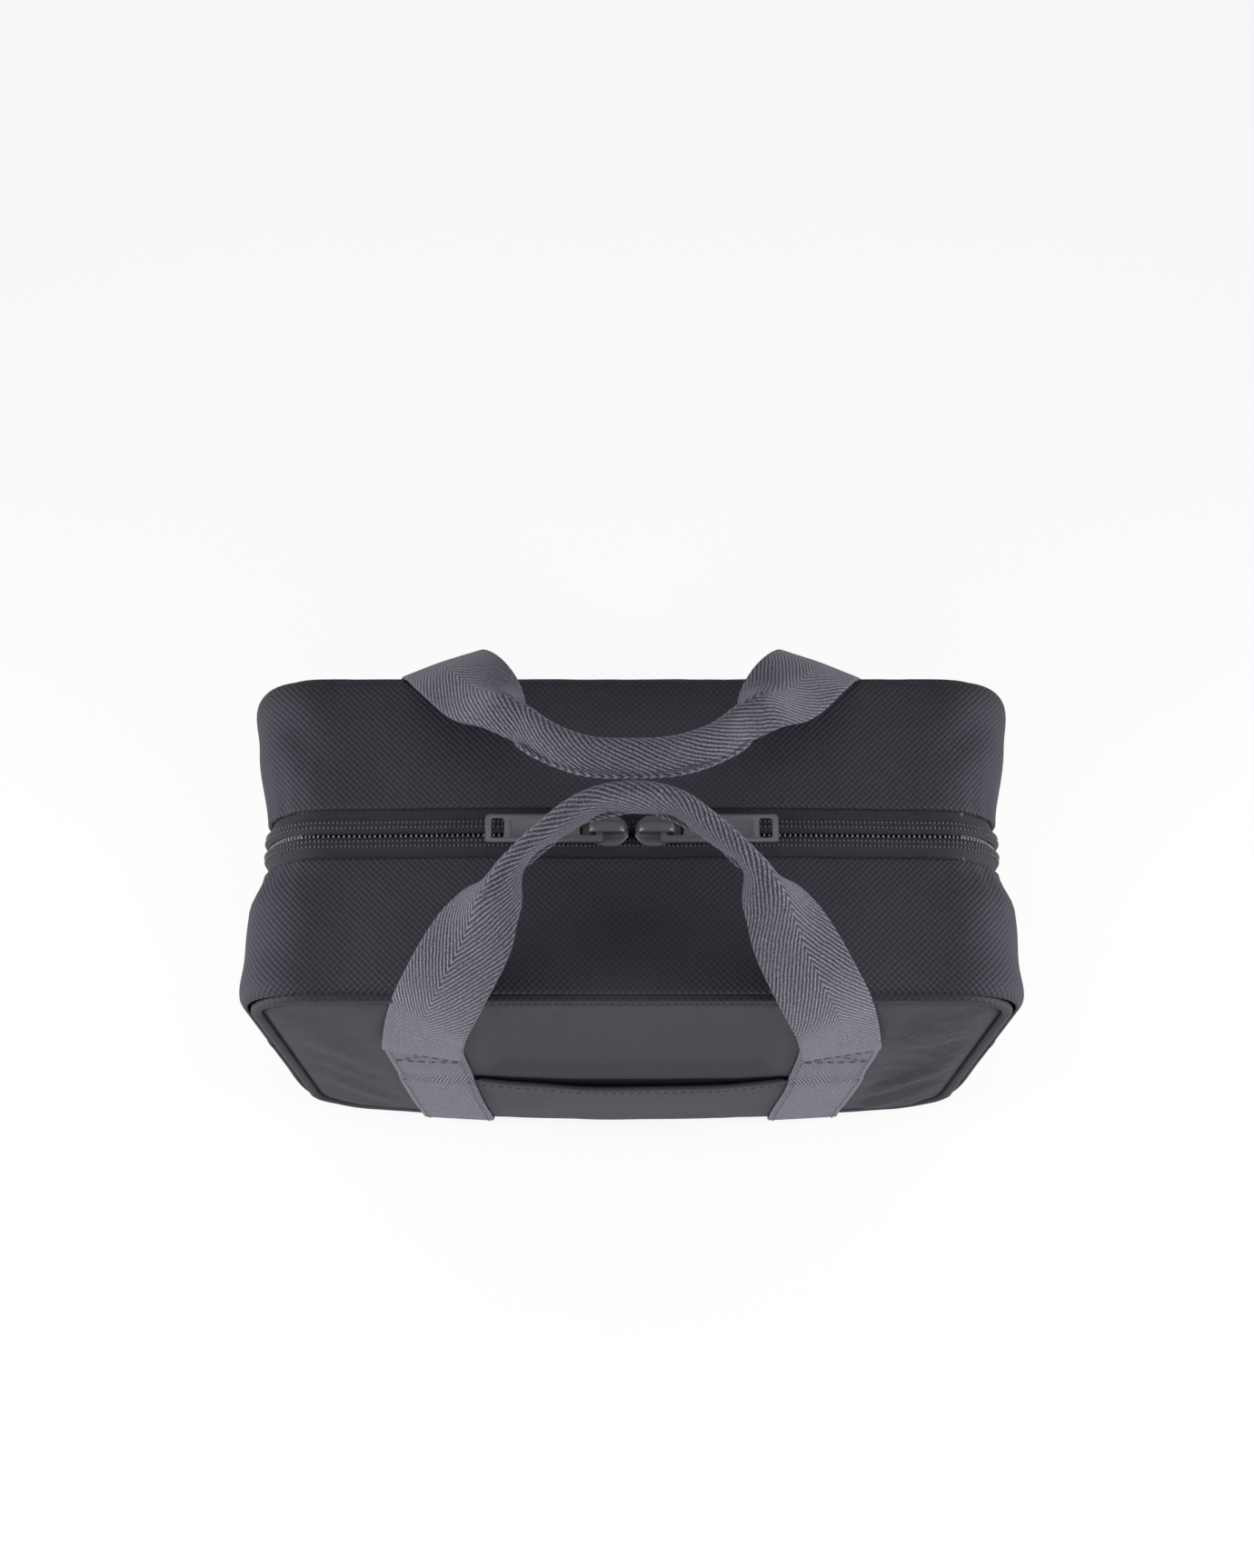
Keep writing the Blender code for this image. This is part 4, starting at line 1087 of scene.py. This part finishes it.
# =============================================================== free handles
# x, y, z, across-direction, how far the webbing is rolled (0 flat, 1 closed)
FRONT_HANDLE = [
    (-0.0785, -0.0665, FOLD_Z - 0.0016, (0.987, -0.085, -0.130), 0),
    (-0.0784, -0.0686, FOLD_Z + 0.0016, (0.980, -0.118, -0.158), 0),
    (-0.0768, -0.0692, 0.1480, (0.976, -0.172, -0.133), 0.01),
    (-0.0745, -0.0694, 0.1650, (0.947, -0.287, -0.144), 0.02),
    (-0.0706, -0.0678, 0.1860, (0.900, -0.403, -0.164), 0.03),
    (-0.0640, -0.0612, 0.2025, (0.890, -0.411, -0.200), 0.06),
    (-0.0555, -0.0492, 0.2150, (0.890, -0.390, -0.235), 0.16),
    (-0.0478, -0.0372, 0.2240, (0.837, -0.267, -0.477), 0.46),
    (-0.0395, -0.0258, 0.2300, (0.348, 0.136, -0.928), 0.96),
    (-0.0280, -0.0162, 0.2345, (0.304, 0.028, -0.952), 1),
    (-0.0145, -0.0084, 0.2385, (0.278, -0.271, -0.922), 1),
    (0.0000, -0.0062, 0.2400, (0.000, -0.443, -0.896), 1),
]
BACK_HANDLE = [
    (-0.0785, -0.0664, FOLD_Z - 0.0012, (0.994, -0.074, -0.078), 0),
    (-0.0784, -0.0684, FOLD_Z + 0.0020, (0.986, -0.110, -0.122), 0),
    (-0.0768, -0.0692, 0.1480, (0.977, -0.173, -0.121), 0.01),
    (-0.0748, -0.0690, 0.1650, (0.925, -0.359, -0.125), 0.02),
    (-0.0705, -0.0662, 0.1860, (0.895, -0.434, -0.105), 0.03),
    (-0.0648, -0.0575, 0.2025, (0.801, -0.598, 0.016), 0.06),
    (-0.0560, -0.0460, 0.2140, (0.667, -0.716, 0.208), 0.14),
    (-0.0465, -0.0345, 0.2230, (0.571, -0.738, 0.360), 0.45),
    (-0.0380, -0.0245, 0.2295, (0.482, -0.754, 0.447), 0.92),
    (-0.0290, -0.0165, 0.2345, (0.357, -0.831, 0.426), 1),
    (-0.0150, -0.0100, 0.2385, (0.167, -0.888, 0.428), 1),
    (0.0000, -0.0084, 0.2400, (0.000, -0.933, 0.361), 1),
]


def catmull(rows, steps):
    out = []
    n = len(rows)
    for i in range(n - 1):
        p0, p1, p2, p3 = rows[max(i - 1, 0)], rows[i], rows[i + 1], rows[min(i + 2, n - 1)]
        for k in range(steps):
            t = k / steps
            out.append(0.5 * (2 * p1 + (p2 - p0) * t + (2 * p0 - 5 * p1 + 4 * p2 - p3) * t * t
                              + (3 * p1 - p0 - 3 * p2 + p3) * t ** 3))
    out.append(rows[-1])
    return np.array(out)


for side, label in ((-1, "front"), (1, "back")):
    rows = np.array([[x, y, z, *w, f] for x, y, z, w, f in (FRONT_HANDLE if side < 0 else BACK_HANDLE)])
    mir = rows[:-1][::-1].copy()
    mir[:, 0] *= -1
    mir[:, 3] *= -1
    # the far half of the webbing keeps running on, so its across-direction is
    # mirrored in X; at the middle it only has Y and Z parts, so the two agree
    half = catmull(np.vstack([rows, mir[0]]), 10)[:-10]
    back = half[:-1][::-1].copy()
    back[:, 0] *= -1
    back[:, 3] *= -1
    full = np.vstack([half, back])
    C = full[:, :3].copy()
    k = np.arange(len(C))
    # small unevenness of a worn handle
    C[:, 1] += 0.0006 * vnoise(k / 17.0, k * 0 + 3 + side) * smooth(k / 30) * smooth((len(C) - 1 - k) / 30)
    C[:, 2] += 0.0006 * vnoise(k / 14.0, k * 0 + 9 + side) * smooth(k / 30) * smooth((len(C) - 1 - k) / 30)
    T = np.gradient(C, axis=0)
    T /= np.linalg.norm(T, axis=1)[:, None]
    W = full[:, 3:6]
    W = W - T * (W * T).sum(1)[:, None]
    W /= np.linalg.norm(W, axis=1)[:, None]
    mid = len(half) - 1
    N = np.cross(W, T)
    roll = np.clip(full[:, 6], 0, 1)
    if side > 0:
        for A in (C, W, N):
            A[:, 1] *= -1
    # handed the same way round for both halves: across points to the inside

    def section(i, q, roll=roll, side=side):
        g = roll[i]
        fine = np.linspace(-WEB_W / 2, WEB_W / 2, 241)
        # folded in half with rounded flanks; in front the outer half goes
        # behind, at the back the inner half does
        k = 1 / 0.0125 + (1 / 0.0028) * np.exp(-((fine + 0.0005) / 0.0036) ** 4)
        k = k + (1 / 0.0045) * smooth((np.abs(fine) - 0.0110) / 0.003)
        mid_q = 0.0060 if side < 0 else -0.0060
        th = np.concatenate([[0], np.cumsum((k[1:] + k[:-1]) / 2 * np.diff(fine))])
        th = -(th - np.interp(mid_q, fine, th)) * g
        th = th + 0.09 * math.sin(i * 0.35) * g * np.sin(fine / 0.0036)
        dw, dn = np.cos(th), np.sin(th)
        pw = np.concatenate([[0], np.cumsum((dw[1:] + dw[:-1]) / 2 * np.diff(fine))])
        pn = np.concatenate([[0], np.cumsum((dn[1:] + dn[:-1]) / 2 * np.diff(fine))])
        pw -= (pw.max() + pw.min()) / 2 * g + pw.mean() * (1 - g)
        pn -= (pn.max() + pn.min()) / 2 * g + pn.mean() * (1 - g)
        return (np.interp(q, fine, pw), np.interp(q, fine, pn),
                np.interp(q, fine, dw), np.interp(q, fine, dn))

    ob = ribbon(f"{label}_handle_loop", C, W * WEB_W / 2, N, WT, MAT["web"], nq=34, section=section, u0=FOLD_Z)
    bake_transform(ob)
    put(ob, None, [label + "_handle_webbing"])


# ===================================================================== lining
_lo, _hi = box("main_lining")
LHW, LY, LZ0, LTOP = _hi[0] - 0.0042, _hi[1] - 0.0004, _lo[2] + 0.0003, GUS_TOP - 0.0062
ths = np.linspace(0, 2 * PI, 161)
lev = np.concatenate([np.linspace(LTOP, LZ0 + 0.026, 22), LZ0 + 0.024 - 0.024 * np.sin(np.linspace(0.1, PI / 2, 9)) + 0.0])
rows_in, rows_out = [], []


def lining_loop(zv, inset):
    cr = 0.024
    dz = np.clip((LZ0 + cr - zv) / cr, 0, 1)
    a = LHW - cr * (1 - math.sqrt(max(0.0, 1 - dz ** 2))) if dz > 0 else LHW
    top = np.clip((zv - (GUS_TOP - R)) / R, 0, 1)
    a = a - 0.0275 * (1 - math.sqrt(max(0.0, 1 - min(top * 1.02, 1) ** 2))) - 0.0022 * top
    b = LY
    a, b = a - inset, b - inset
    c, s = np.cos(ths), np.sin(ths)
    e = 0.16
    x = np.sign(c) * np.abs(c) ** e * a
    y = np.sign(s) * np.abs(s) ** e * b
    wob = 0.0009 * vnoise(ths * 5, np.full_like(ths, zv * 45), 12) + 0.0006 * vnoise(ths * 13, np.full_like(ths, zv * 30), 15)
    wob = wob * smooth((LTOP - zv) / 0.02) * smooth((zv - LZ0) / 0.02)
    return np.stack([x * (1 - np.abs(wob) / a * 1), y * (1 - np.abs(wob) / b * 1.0), np.full_like(x, zv)], 1)


inner_t = 0.0008
loops = [lining_loop(z, 0) for z in lev]
inner = [lining_loop(max(z, LZ0 + inner_t), inner_t) for z in lev[::-1]]
V, F, UVs = [], [], []
nt = len(ths) - 1


def add_rows(rows):
    start = len(V)
    for r_ in rows:
        for p in r_[:-1]:
            V.append(p)
    for i in range(len(rows) - 1):
        for k in range(nt):
            k2 = (k + 1) % nt
            F.append([start + i * nt + k, start + (i + 1) * nt + k, start + (i + 1) * nt + k2, start + i * nt + k2])
            du = 0.79 / nt
            v0, v1 = rows[i][k][2], rows[i + 1][k][2]
            UVs.append([(k * du, v0), (k * du, v1), ((k + 1) * du, v1), ((k + 1) * du, v0)])
    return start


s0 = add_rows(loops)
s1 = add_rows(inner)
# floor discs, outside and inside
for base, rows_, zz in ((s0 + (len(loops) - 1) * nt, loops[-1], LZ0), (s1, inner[0], LZ0 + inner_t)):
    V.append(np.array([0, 0, rows_[0][2]]))
    ci = len(V) - 1
    for k in range(nt):
        k2 = (k + 1) % nt
        F.append([base + k, base + k2, ci])
        UVs.append([tuple(rows_[k][:2]), tuple(rows_[(k + 1)][:2]), (0, 0)])
# rim
for k in range(nt):
    k2 = (k + 1) % nt
    a, b = s0 + k, s0 + k2
    c, d = s1 + (len(inner) - 1) * nt + k, s1 + (len(inner) - 1) * nt + k2
    F.append([a, b, d, c])
    UVs.append([(k * 0.005, 0), ((k + 1) * 0.005, 0), ((k + 1) * 0.005, 0.0008), (k * 0.005, 0.0008)])
ob = make_object("lining_bag", V, F, UVs, MAT["lining"])
put(ob, "bag_body", ["main_lining"])


# ================================================================ zip sliders
def outline_solid(name, pts, z0, z1, mat, bevel, seg=3):
    bm = bmesh.new()
    vs_ = [bm.verts.new((x, y, z0)) for x, y in pts]
    f = bm.faces.new(vs_)
    out = bmesh.ops.extrude_face_region(bm, geom=[f])
    bmesh.ops.translate(bm, vec=(0, 0, z1 - z0), verts=[g for g in out["geom"] if isinstance(g, bmesh.types.BMVert)])
    bmesh.ops.recalc_face_normals(bm, faces=bm.faces)
    me = bpy.data.meshes.new(name)
    bm.to_mesh(me)
    bm.free()
    me.uv_layers.new(name="UVMap")
    me.materials.append(mat)
    ob_ = bpy.data.objects.new(name, me)
    scene.collection.objects.link(ob_)
    if bevel:
        md = ob_.modifiers.new("edge", "BEVEL")
        md.width, md.segments, md.limit_method, md.angle_limit = bevel, seg, "ANGLE", math.radians(35)
    return ob_


def apply_mods(ob_):
    dg = bpy.context.evaluated_depsgraph_get()
    me = bpy.data.meshes.new_from_object(ob_.evaluated_get(dg), depsgraph=dg)
    ob_.modifiers.clear()
    ob_.data = me
    me.shade_smooth()
    me.set_sharp_from_angle(angle=math.radians(38))
    return ob_


def boolean(ob_, other, op):
    md = ob_.modifiers.new("b", "BOOLEAN")
    md.operation, md.solver, md.object = op, "EXACT", other
    apply_mods(ob_)
    bpy.data.objects.remove(other, do_unlink=True)
    return ob_


def rounded_rect_pts(x0, x1, hy, r, n=6):
    pts = []
    for cx, cy, a0 in ((x1 - r, hy - r, 0), (x0 + r, hy - r, 90), (x0 + r, -hy + r, 180), (x1 - r, -hy + r, 270)):
        for k_ in range(n + 1):
            a = math.radians(a0 + 90 * k_ / n)
            pts.append((cx + r * math.cos(a), cy + r * math.sin(a)))
    return pts


for label, sg in (("left", -1), ("right", 1)):
    lo, hi = box(label + "_slider_body")
    x0, x1 = sorted((abs(lo[0]), abs(hi[0])))
    zt_, zb_ = hi[2], lo[2]
    ww = hi[1]
    # teardrop plates: round shoulders at the nose, narrowing to the tail
    half = []
    for t in np.linspace(0, 1, 28):
        xx = x0 + (x1 - x0) * t
        if t < 0.30:
            w_ = ww * (0.34 + 0.66 * math.sin(PI / 2 * (t / 0.30)) ** 0.9)
        elif t < 0.45:
            w_ = ww
        else:
            w_ = ww * (1 - 0.33 * float(smooth((t - 0.45) / 0.45)))
        half.append((xx, w_))
    pts = [(sg * a, b) for a, b in half] + [(sg * a, -b) for a, b in half[::-1]]
    body = outline_solid(label + "_slider_shell", pts, zt_ - 0.0017, zt_ + 0.0001, MAT["metal"], 0.00045)
    apply_mods(body)
    low = outline_solid("low", pts, zb_, zb_ + 0.0013, MAT["metal"], 0.0003)
    apply_mods(low)
    post = outline_solid("post", [(sg * (x0 + 0.0012), -0.0011), (sg * (x0 + 0.0050), -0.0013), (sg * (x0 + 0.0066), 0.0),
                                  (sg * (x0 + 0.0050), 0.0013), (sg * (x0 + 0.0012), 0.0011)], zb_ + 0.0005, zt_ - 0.0006,
                         MAT["metal"], 0)
    apply_mods(post)
    boolean(body, low, "UNION")
    boolean(body, post, "UNION")
    # raised pad the bridge stands on
    pad = outline_solid("pad", rounded_rect_pts(min(sg * (x0 + 0.0006), sg * (x1 - 0.0008)), max(sg * (x0 + 0.0006), sg * (x1 - 0.0008)),
                                                0.0026, 0.0024), zt_ - 0.0006, zt_ + 0.0006, MAT["metal"], 0.0003)
    apply_mods(pad)
    boolean(body, pad, "UNION")
    put(body, label + "_slider", [label + "_slider_body"])

    # bridge: a rounded bar carried on two feet
    lo, hi = box(label + "_slider_bridge")
    bx0, bx1 = sorted((abs(lo[0]), abs(hi[0])))
    z0_, z1_ = lo[2], hi[2]
    n = 40
    L, U = [], []
    path = []
    t_in = 0.0011
    mid_z = z1_ - t_in
    # centre line of the arch: tail foot up, along, nose foot down
    cl = [(bx1 - 0.0006, z0_ + 0.0002), (bx1 - 0.0006, mid_z - 0.0018), (bx1 - 0.0010, mid_z - 0.0006), (bx1 - 0.0024, mid_z),
          ((bx0 + bx1) / 2, mid_z + 0.0003), (bx0 + 0.0030, mid_z), (bx0 + 0.0012, mid_z - 0.0008), (bx0 + 0.0008, mid_z - 0.0022),
          (bx0 + 0.0007, z0_ + 0.0002)]
    cl = catmull(np.array(cl), 6)
    tn = np.gradient(cl, axis=0)
    tn /= np.linalg.norm(tn, axis=1)[:, None]
    up = np.stack([-tn[:, 1], tn[:, 0]], 1)
    for i, (c_, u_) in enumerate(zip(cl, up)):
        f = i / (len(cl) - 1)
        wy = 0.0016 + 0.0005 * math.sin(PI * f)
        tt = 0.00065 + 0.00045 * math.sin(PI * f) ** 2
        row = []
        for k_ in range(12):
            a = 2 * PI * k_ / 12
            sx_, sy_ = math.cos(a), math.sin(a)
            sx_ = math.copysign(abs(sx_) ** 0.6, sx_)
            sy_ = math.copysign(abs(sy_) ** 0.6, sy_)
            row.append((sg * (c_[0] + u_[0] * tt * sy_), wy * sx_, c_[1] + u_[1] * tt * sy_))
        L.append(row)
        U.append([(f * 0.02, k_ * 0.001) for k_ in range(13)])
    br = loops_to_mesh(label + "_bridge", np.array(L), np.array(U), MAT["metal"], smooth_angle=50)
    put(br, label + "_slider", [label + "_slider_bridge"])

    # pull tab
    lo, hi = box(label + "_pull_tab")
    tx0, tx1 = sorted((abs(lo[0]), abs(hi[0])))
    hy = hi[1]
    zl, zh = lo[2], hi[2]
    pts = [(sg * a, b) for a, b in rounded_rect_pts(tx0, tx1, hy, 0.0014, 8)]
    tab = outline_solid(label + "_tab_plate", pts, zl, zh, MAT["metal"], 0)
    hole = outline_solid("hole", [(sg * a, b) for a, b in rounded_rect_pts(tx1 - 0.0068, tx1 - 0.0022, 0.0037, 0.0010, 6)],
                         zl - 0.002, zh + 0.002, MAT["metal"], 0)
    boolean(tab, hole, "DIFFERENCE")
    loop = outline_solid("loop", [(sg * a, b) for a, b in rounded_rect_pts(tx0 + 0.0022, tx0 + 0.0082, 0.0029, 0.0012, 6)],
                         zl - 0.002, zh + 0.002, MAT["metal"], 0)
    boolean(tab, loop, "DIFFERENCE")
    # shallow panel pressed into the face between the two holes
    rec = outline_solid("rec", [(sg * a, b) for a, b in rounded_rect_pts(tx0 + 0.0105, tx1 - 0.0092, hy - 0.0016, 0.0010, 6)],
                        zh - 0.00022, zh + 0.002, MAT["metal"], 0)
    boolean(tab, rec, "DIFFERENCE")
    md = tab.modifiers.new("edge", "BEVEL")
    md.width, md.segments, md.limit_method, md.angle_limit = 0.00028, 2, "ANGLE", math.radians(50)
    apply_mods(tab)
    put(tab, label + "_tab", [label + "_pull_tab"])

# ======================================================== carried-over nodes
for n in ("front_foam_pad", "back_foam_pad", "left_side_foam_pad", "right_side_foam_pad"):
    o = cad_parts[n]
    o.data.materials.clear()
    o.data.materials.append(MAT["foam"])
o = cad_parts["base_board"]
o.data.materials.clear()
o.data.materials.append(MAT["board"])

# ============================================================== floor, lights
def stage_floor():
    me = bpy.data.meshes.new("floor")
    s = 8.0
    me.from_pydata([(-s, -s, -0.0002), (s, -s, -0.0002), (s, s, -0.0002), (-s, s, -0.0002)], [], [(0, 1, 2, 3)])
    ob_ = bpy.data.objects.new("floor", me)
    scene.collection.objects.link(ob_)
    m = bpy.data.materials.new("floor_white")
    m.use_nodes = True
    b = m.node_tree.nodes["Principled BSDF"]
    b.inputs["Base Color"].default_value = (0.09, 0.09, 0.09, 1)
    b.inputs["Roughness"].default_value = 0.9
    b.inputs["Specular IOR Level"].default_value = 0.0
    b.inputs["Emission Color"].default_value = (1, 1, 1, 1)
    b.inputs["Emission Strength"].default_value = 0.855
    me.materials.append(m)
    ob_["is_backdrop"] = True


stage_floor()


def area(name, loc, target, size, power, color=(1, 1, 1)):
    d = bpy.data.lights.new(name, "AREA")
    d.shape = "RECTANGLE"
    d.size, d.size_y = size
    d.energy = power
    d.color = color
    o_ = bpy.data.objects.new(name, d)
    scene.collection.objects.link(o_)
    o_.location = loc
    v = Vector(target) - Vector(loc)
    o_.rotation_euler = v.to_track_quat("-Z", "Y").to_euler()
    return o_


world = scene.world or bpy.data.worlds.new("world")
scene.world = world
world.use_nodes = True
bg = world.node_tree.nodes.get("Background") or world.node_tree.nodes.new("ShaderNodeBackground")
bg.inputs[0].default_value = (1, 1, 1, 1)
bg.inputs[1].default_value = 0.34

area("top_soft", (0.0, 0.25, 1.7), (0, 0, 0.15), (1.4, 1.2), 7.6)
area("front_low", (0.0, -0.34, 0.02), (0, 0, 0.02), (0.40, 0.04), 0.78)
area("left_soft", (-0.48, -0.12, 0.29), (0, 0, 0.13), (0.20, 0.40), 3.5)
area("right_soft", (0.48, -0.12, 0.29), (0, 0, 0.13), (0.20, 0.40), 3.5)

scene.view_settings.view_transform = "Standard"
scene.view_settings.look = "None"
scene.view_settings.exposure = 0.0

# ===================================================================== camera
cam_d = bpy.data.cameras.new("camera")
cam = bpy.data.objects.new("camera", cam_d)
scene.collection.objects.link(cam)
ELEV, F_PX, PP_Y = 71.3, 2166.0, 940.0
cam.location = (-0.0017, -0.234, 0.855)
cam.rotation_euler = (math.radians(90 - ELEV), 0, 0)
cam_d.sensor_width = 36.0
cam_d.lens = F_PX / 1725.0 * 36.0
cam_d.shift_y = (PP_Y - 862.5) / 1725.0
cam_d.clip_start = 0.01
cam_d.clip_end = 50
cam_d.dof.use_dof = False
scene.camera = cam

lo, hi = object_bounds()
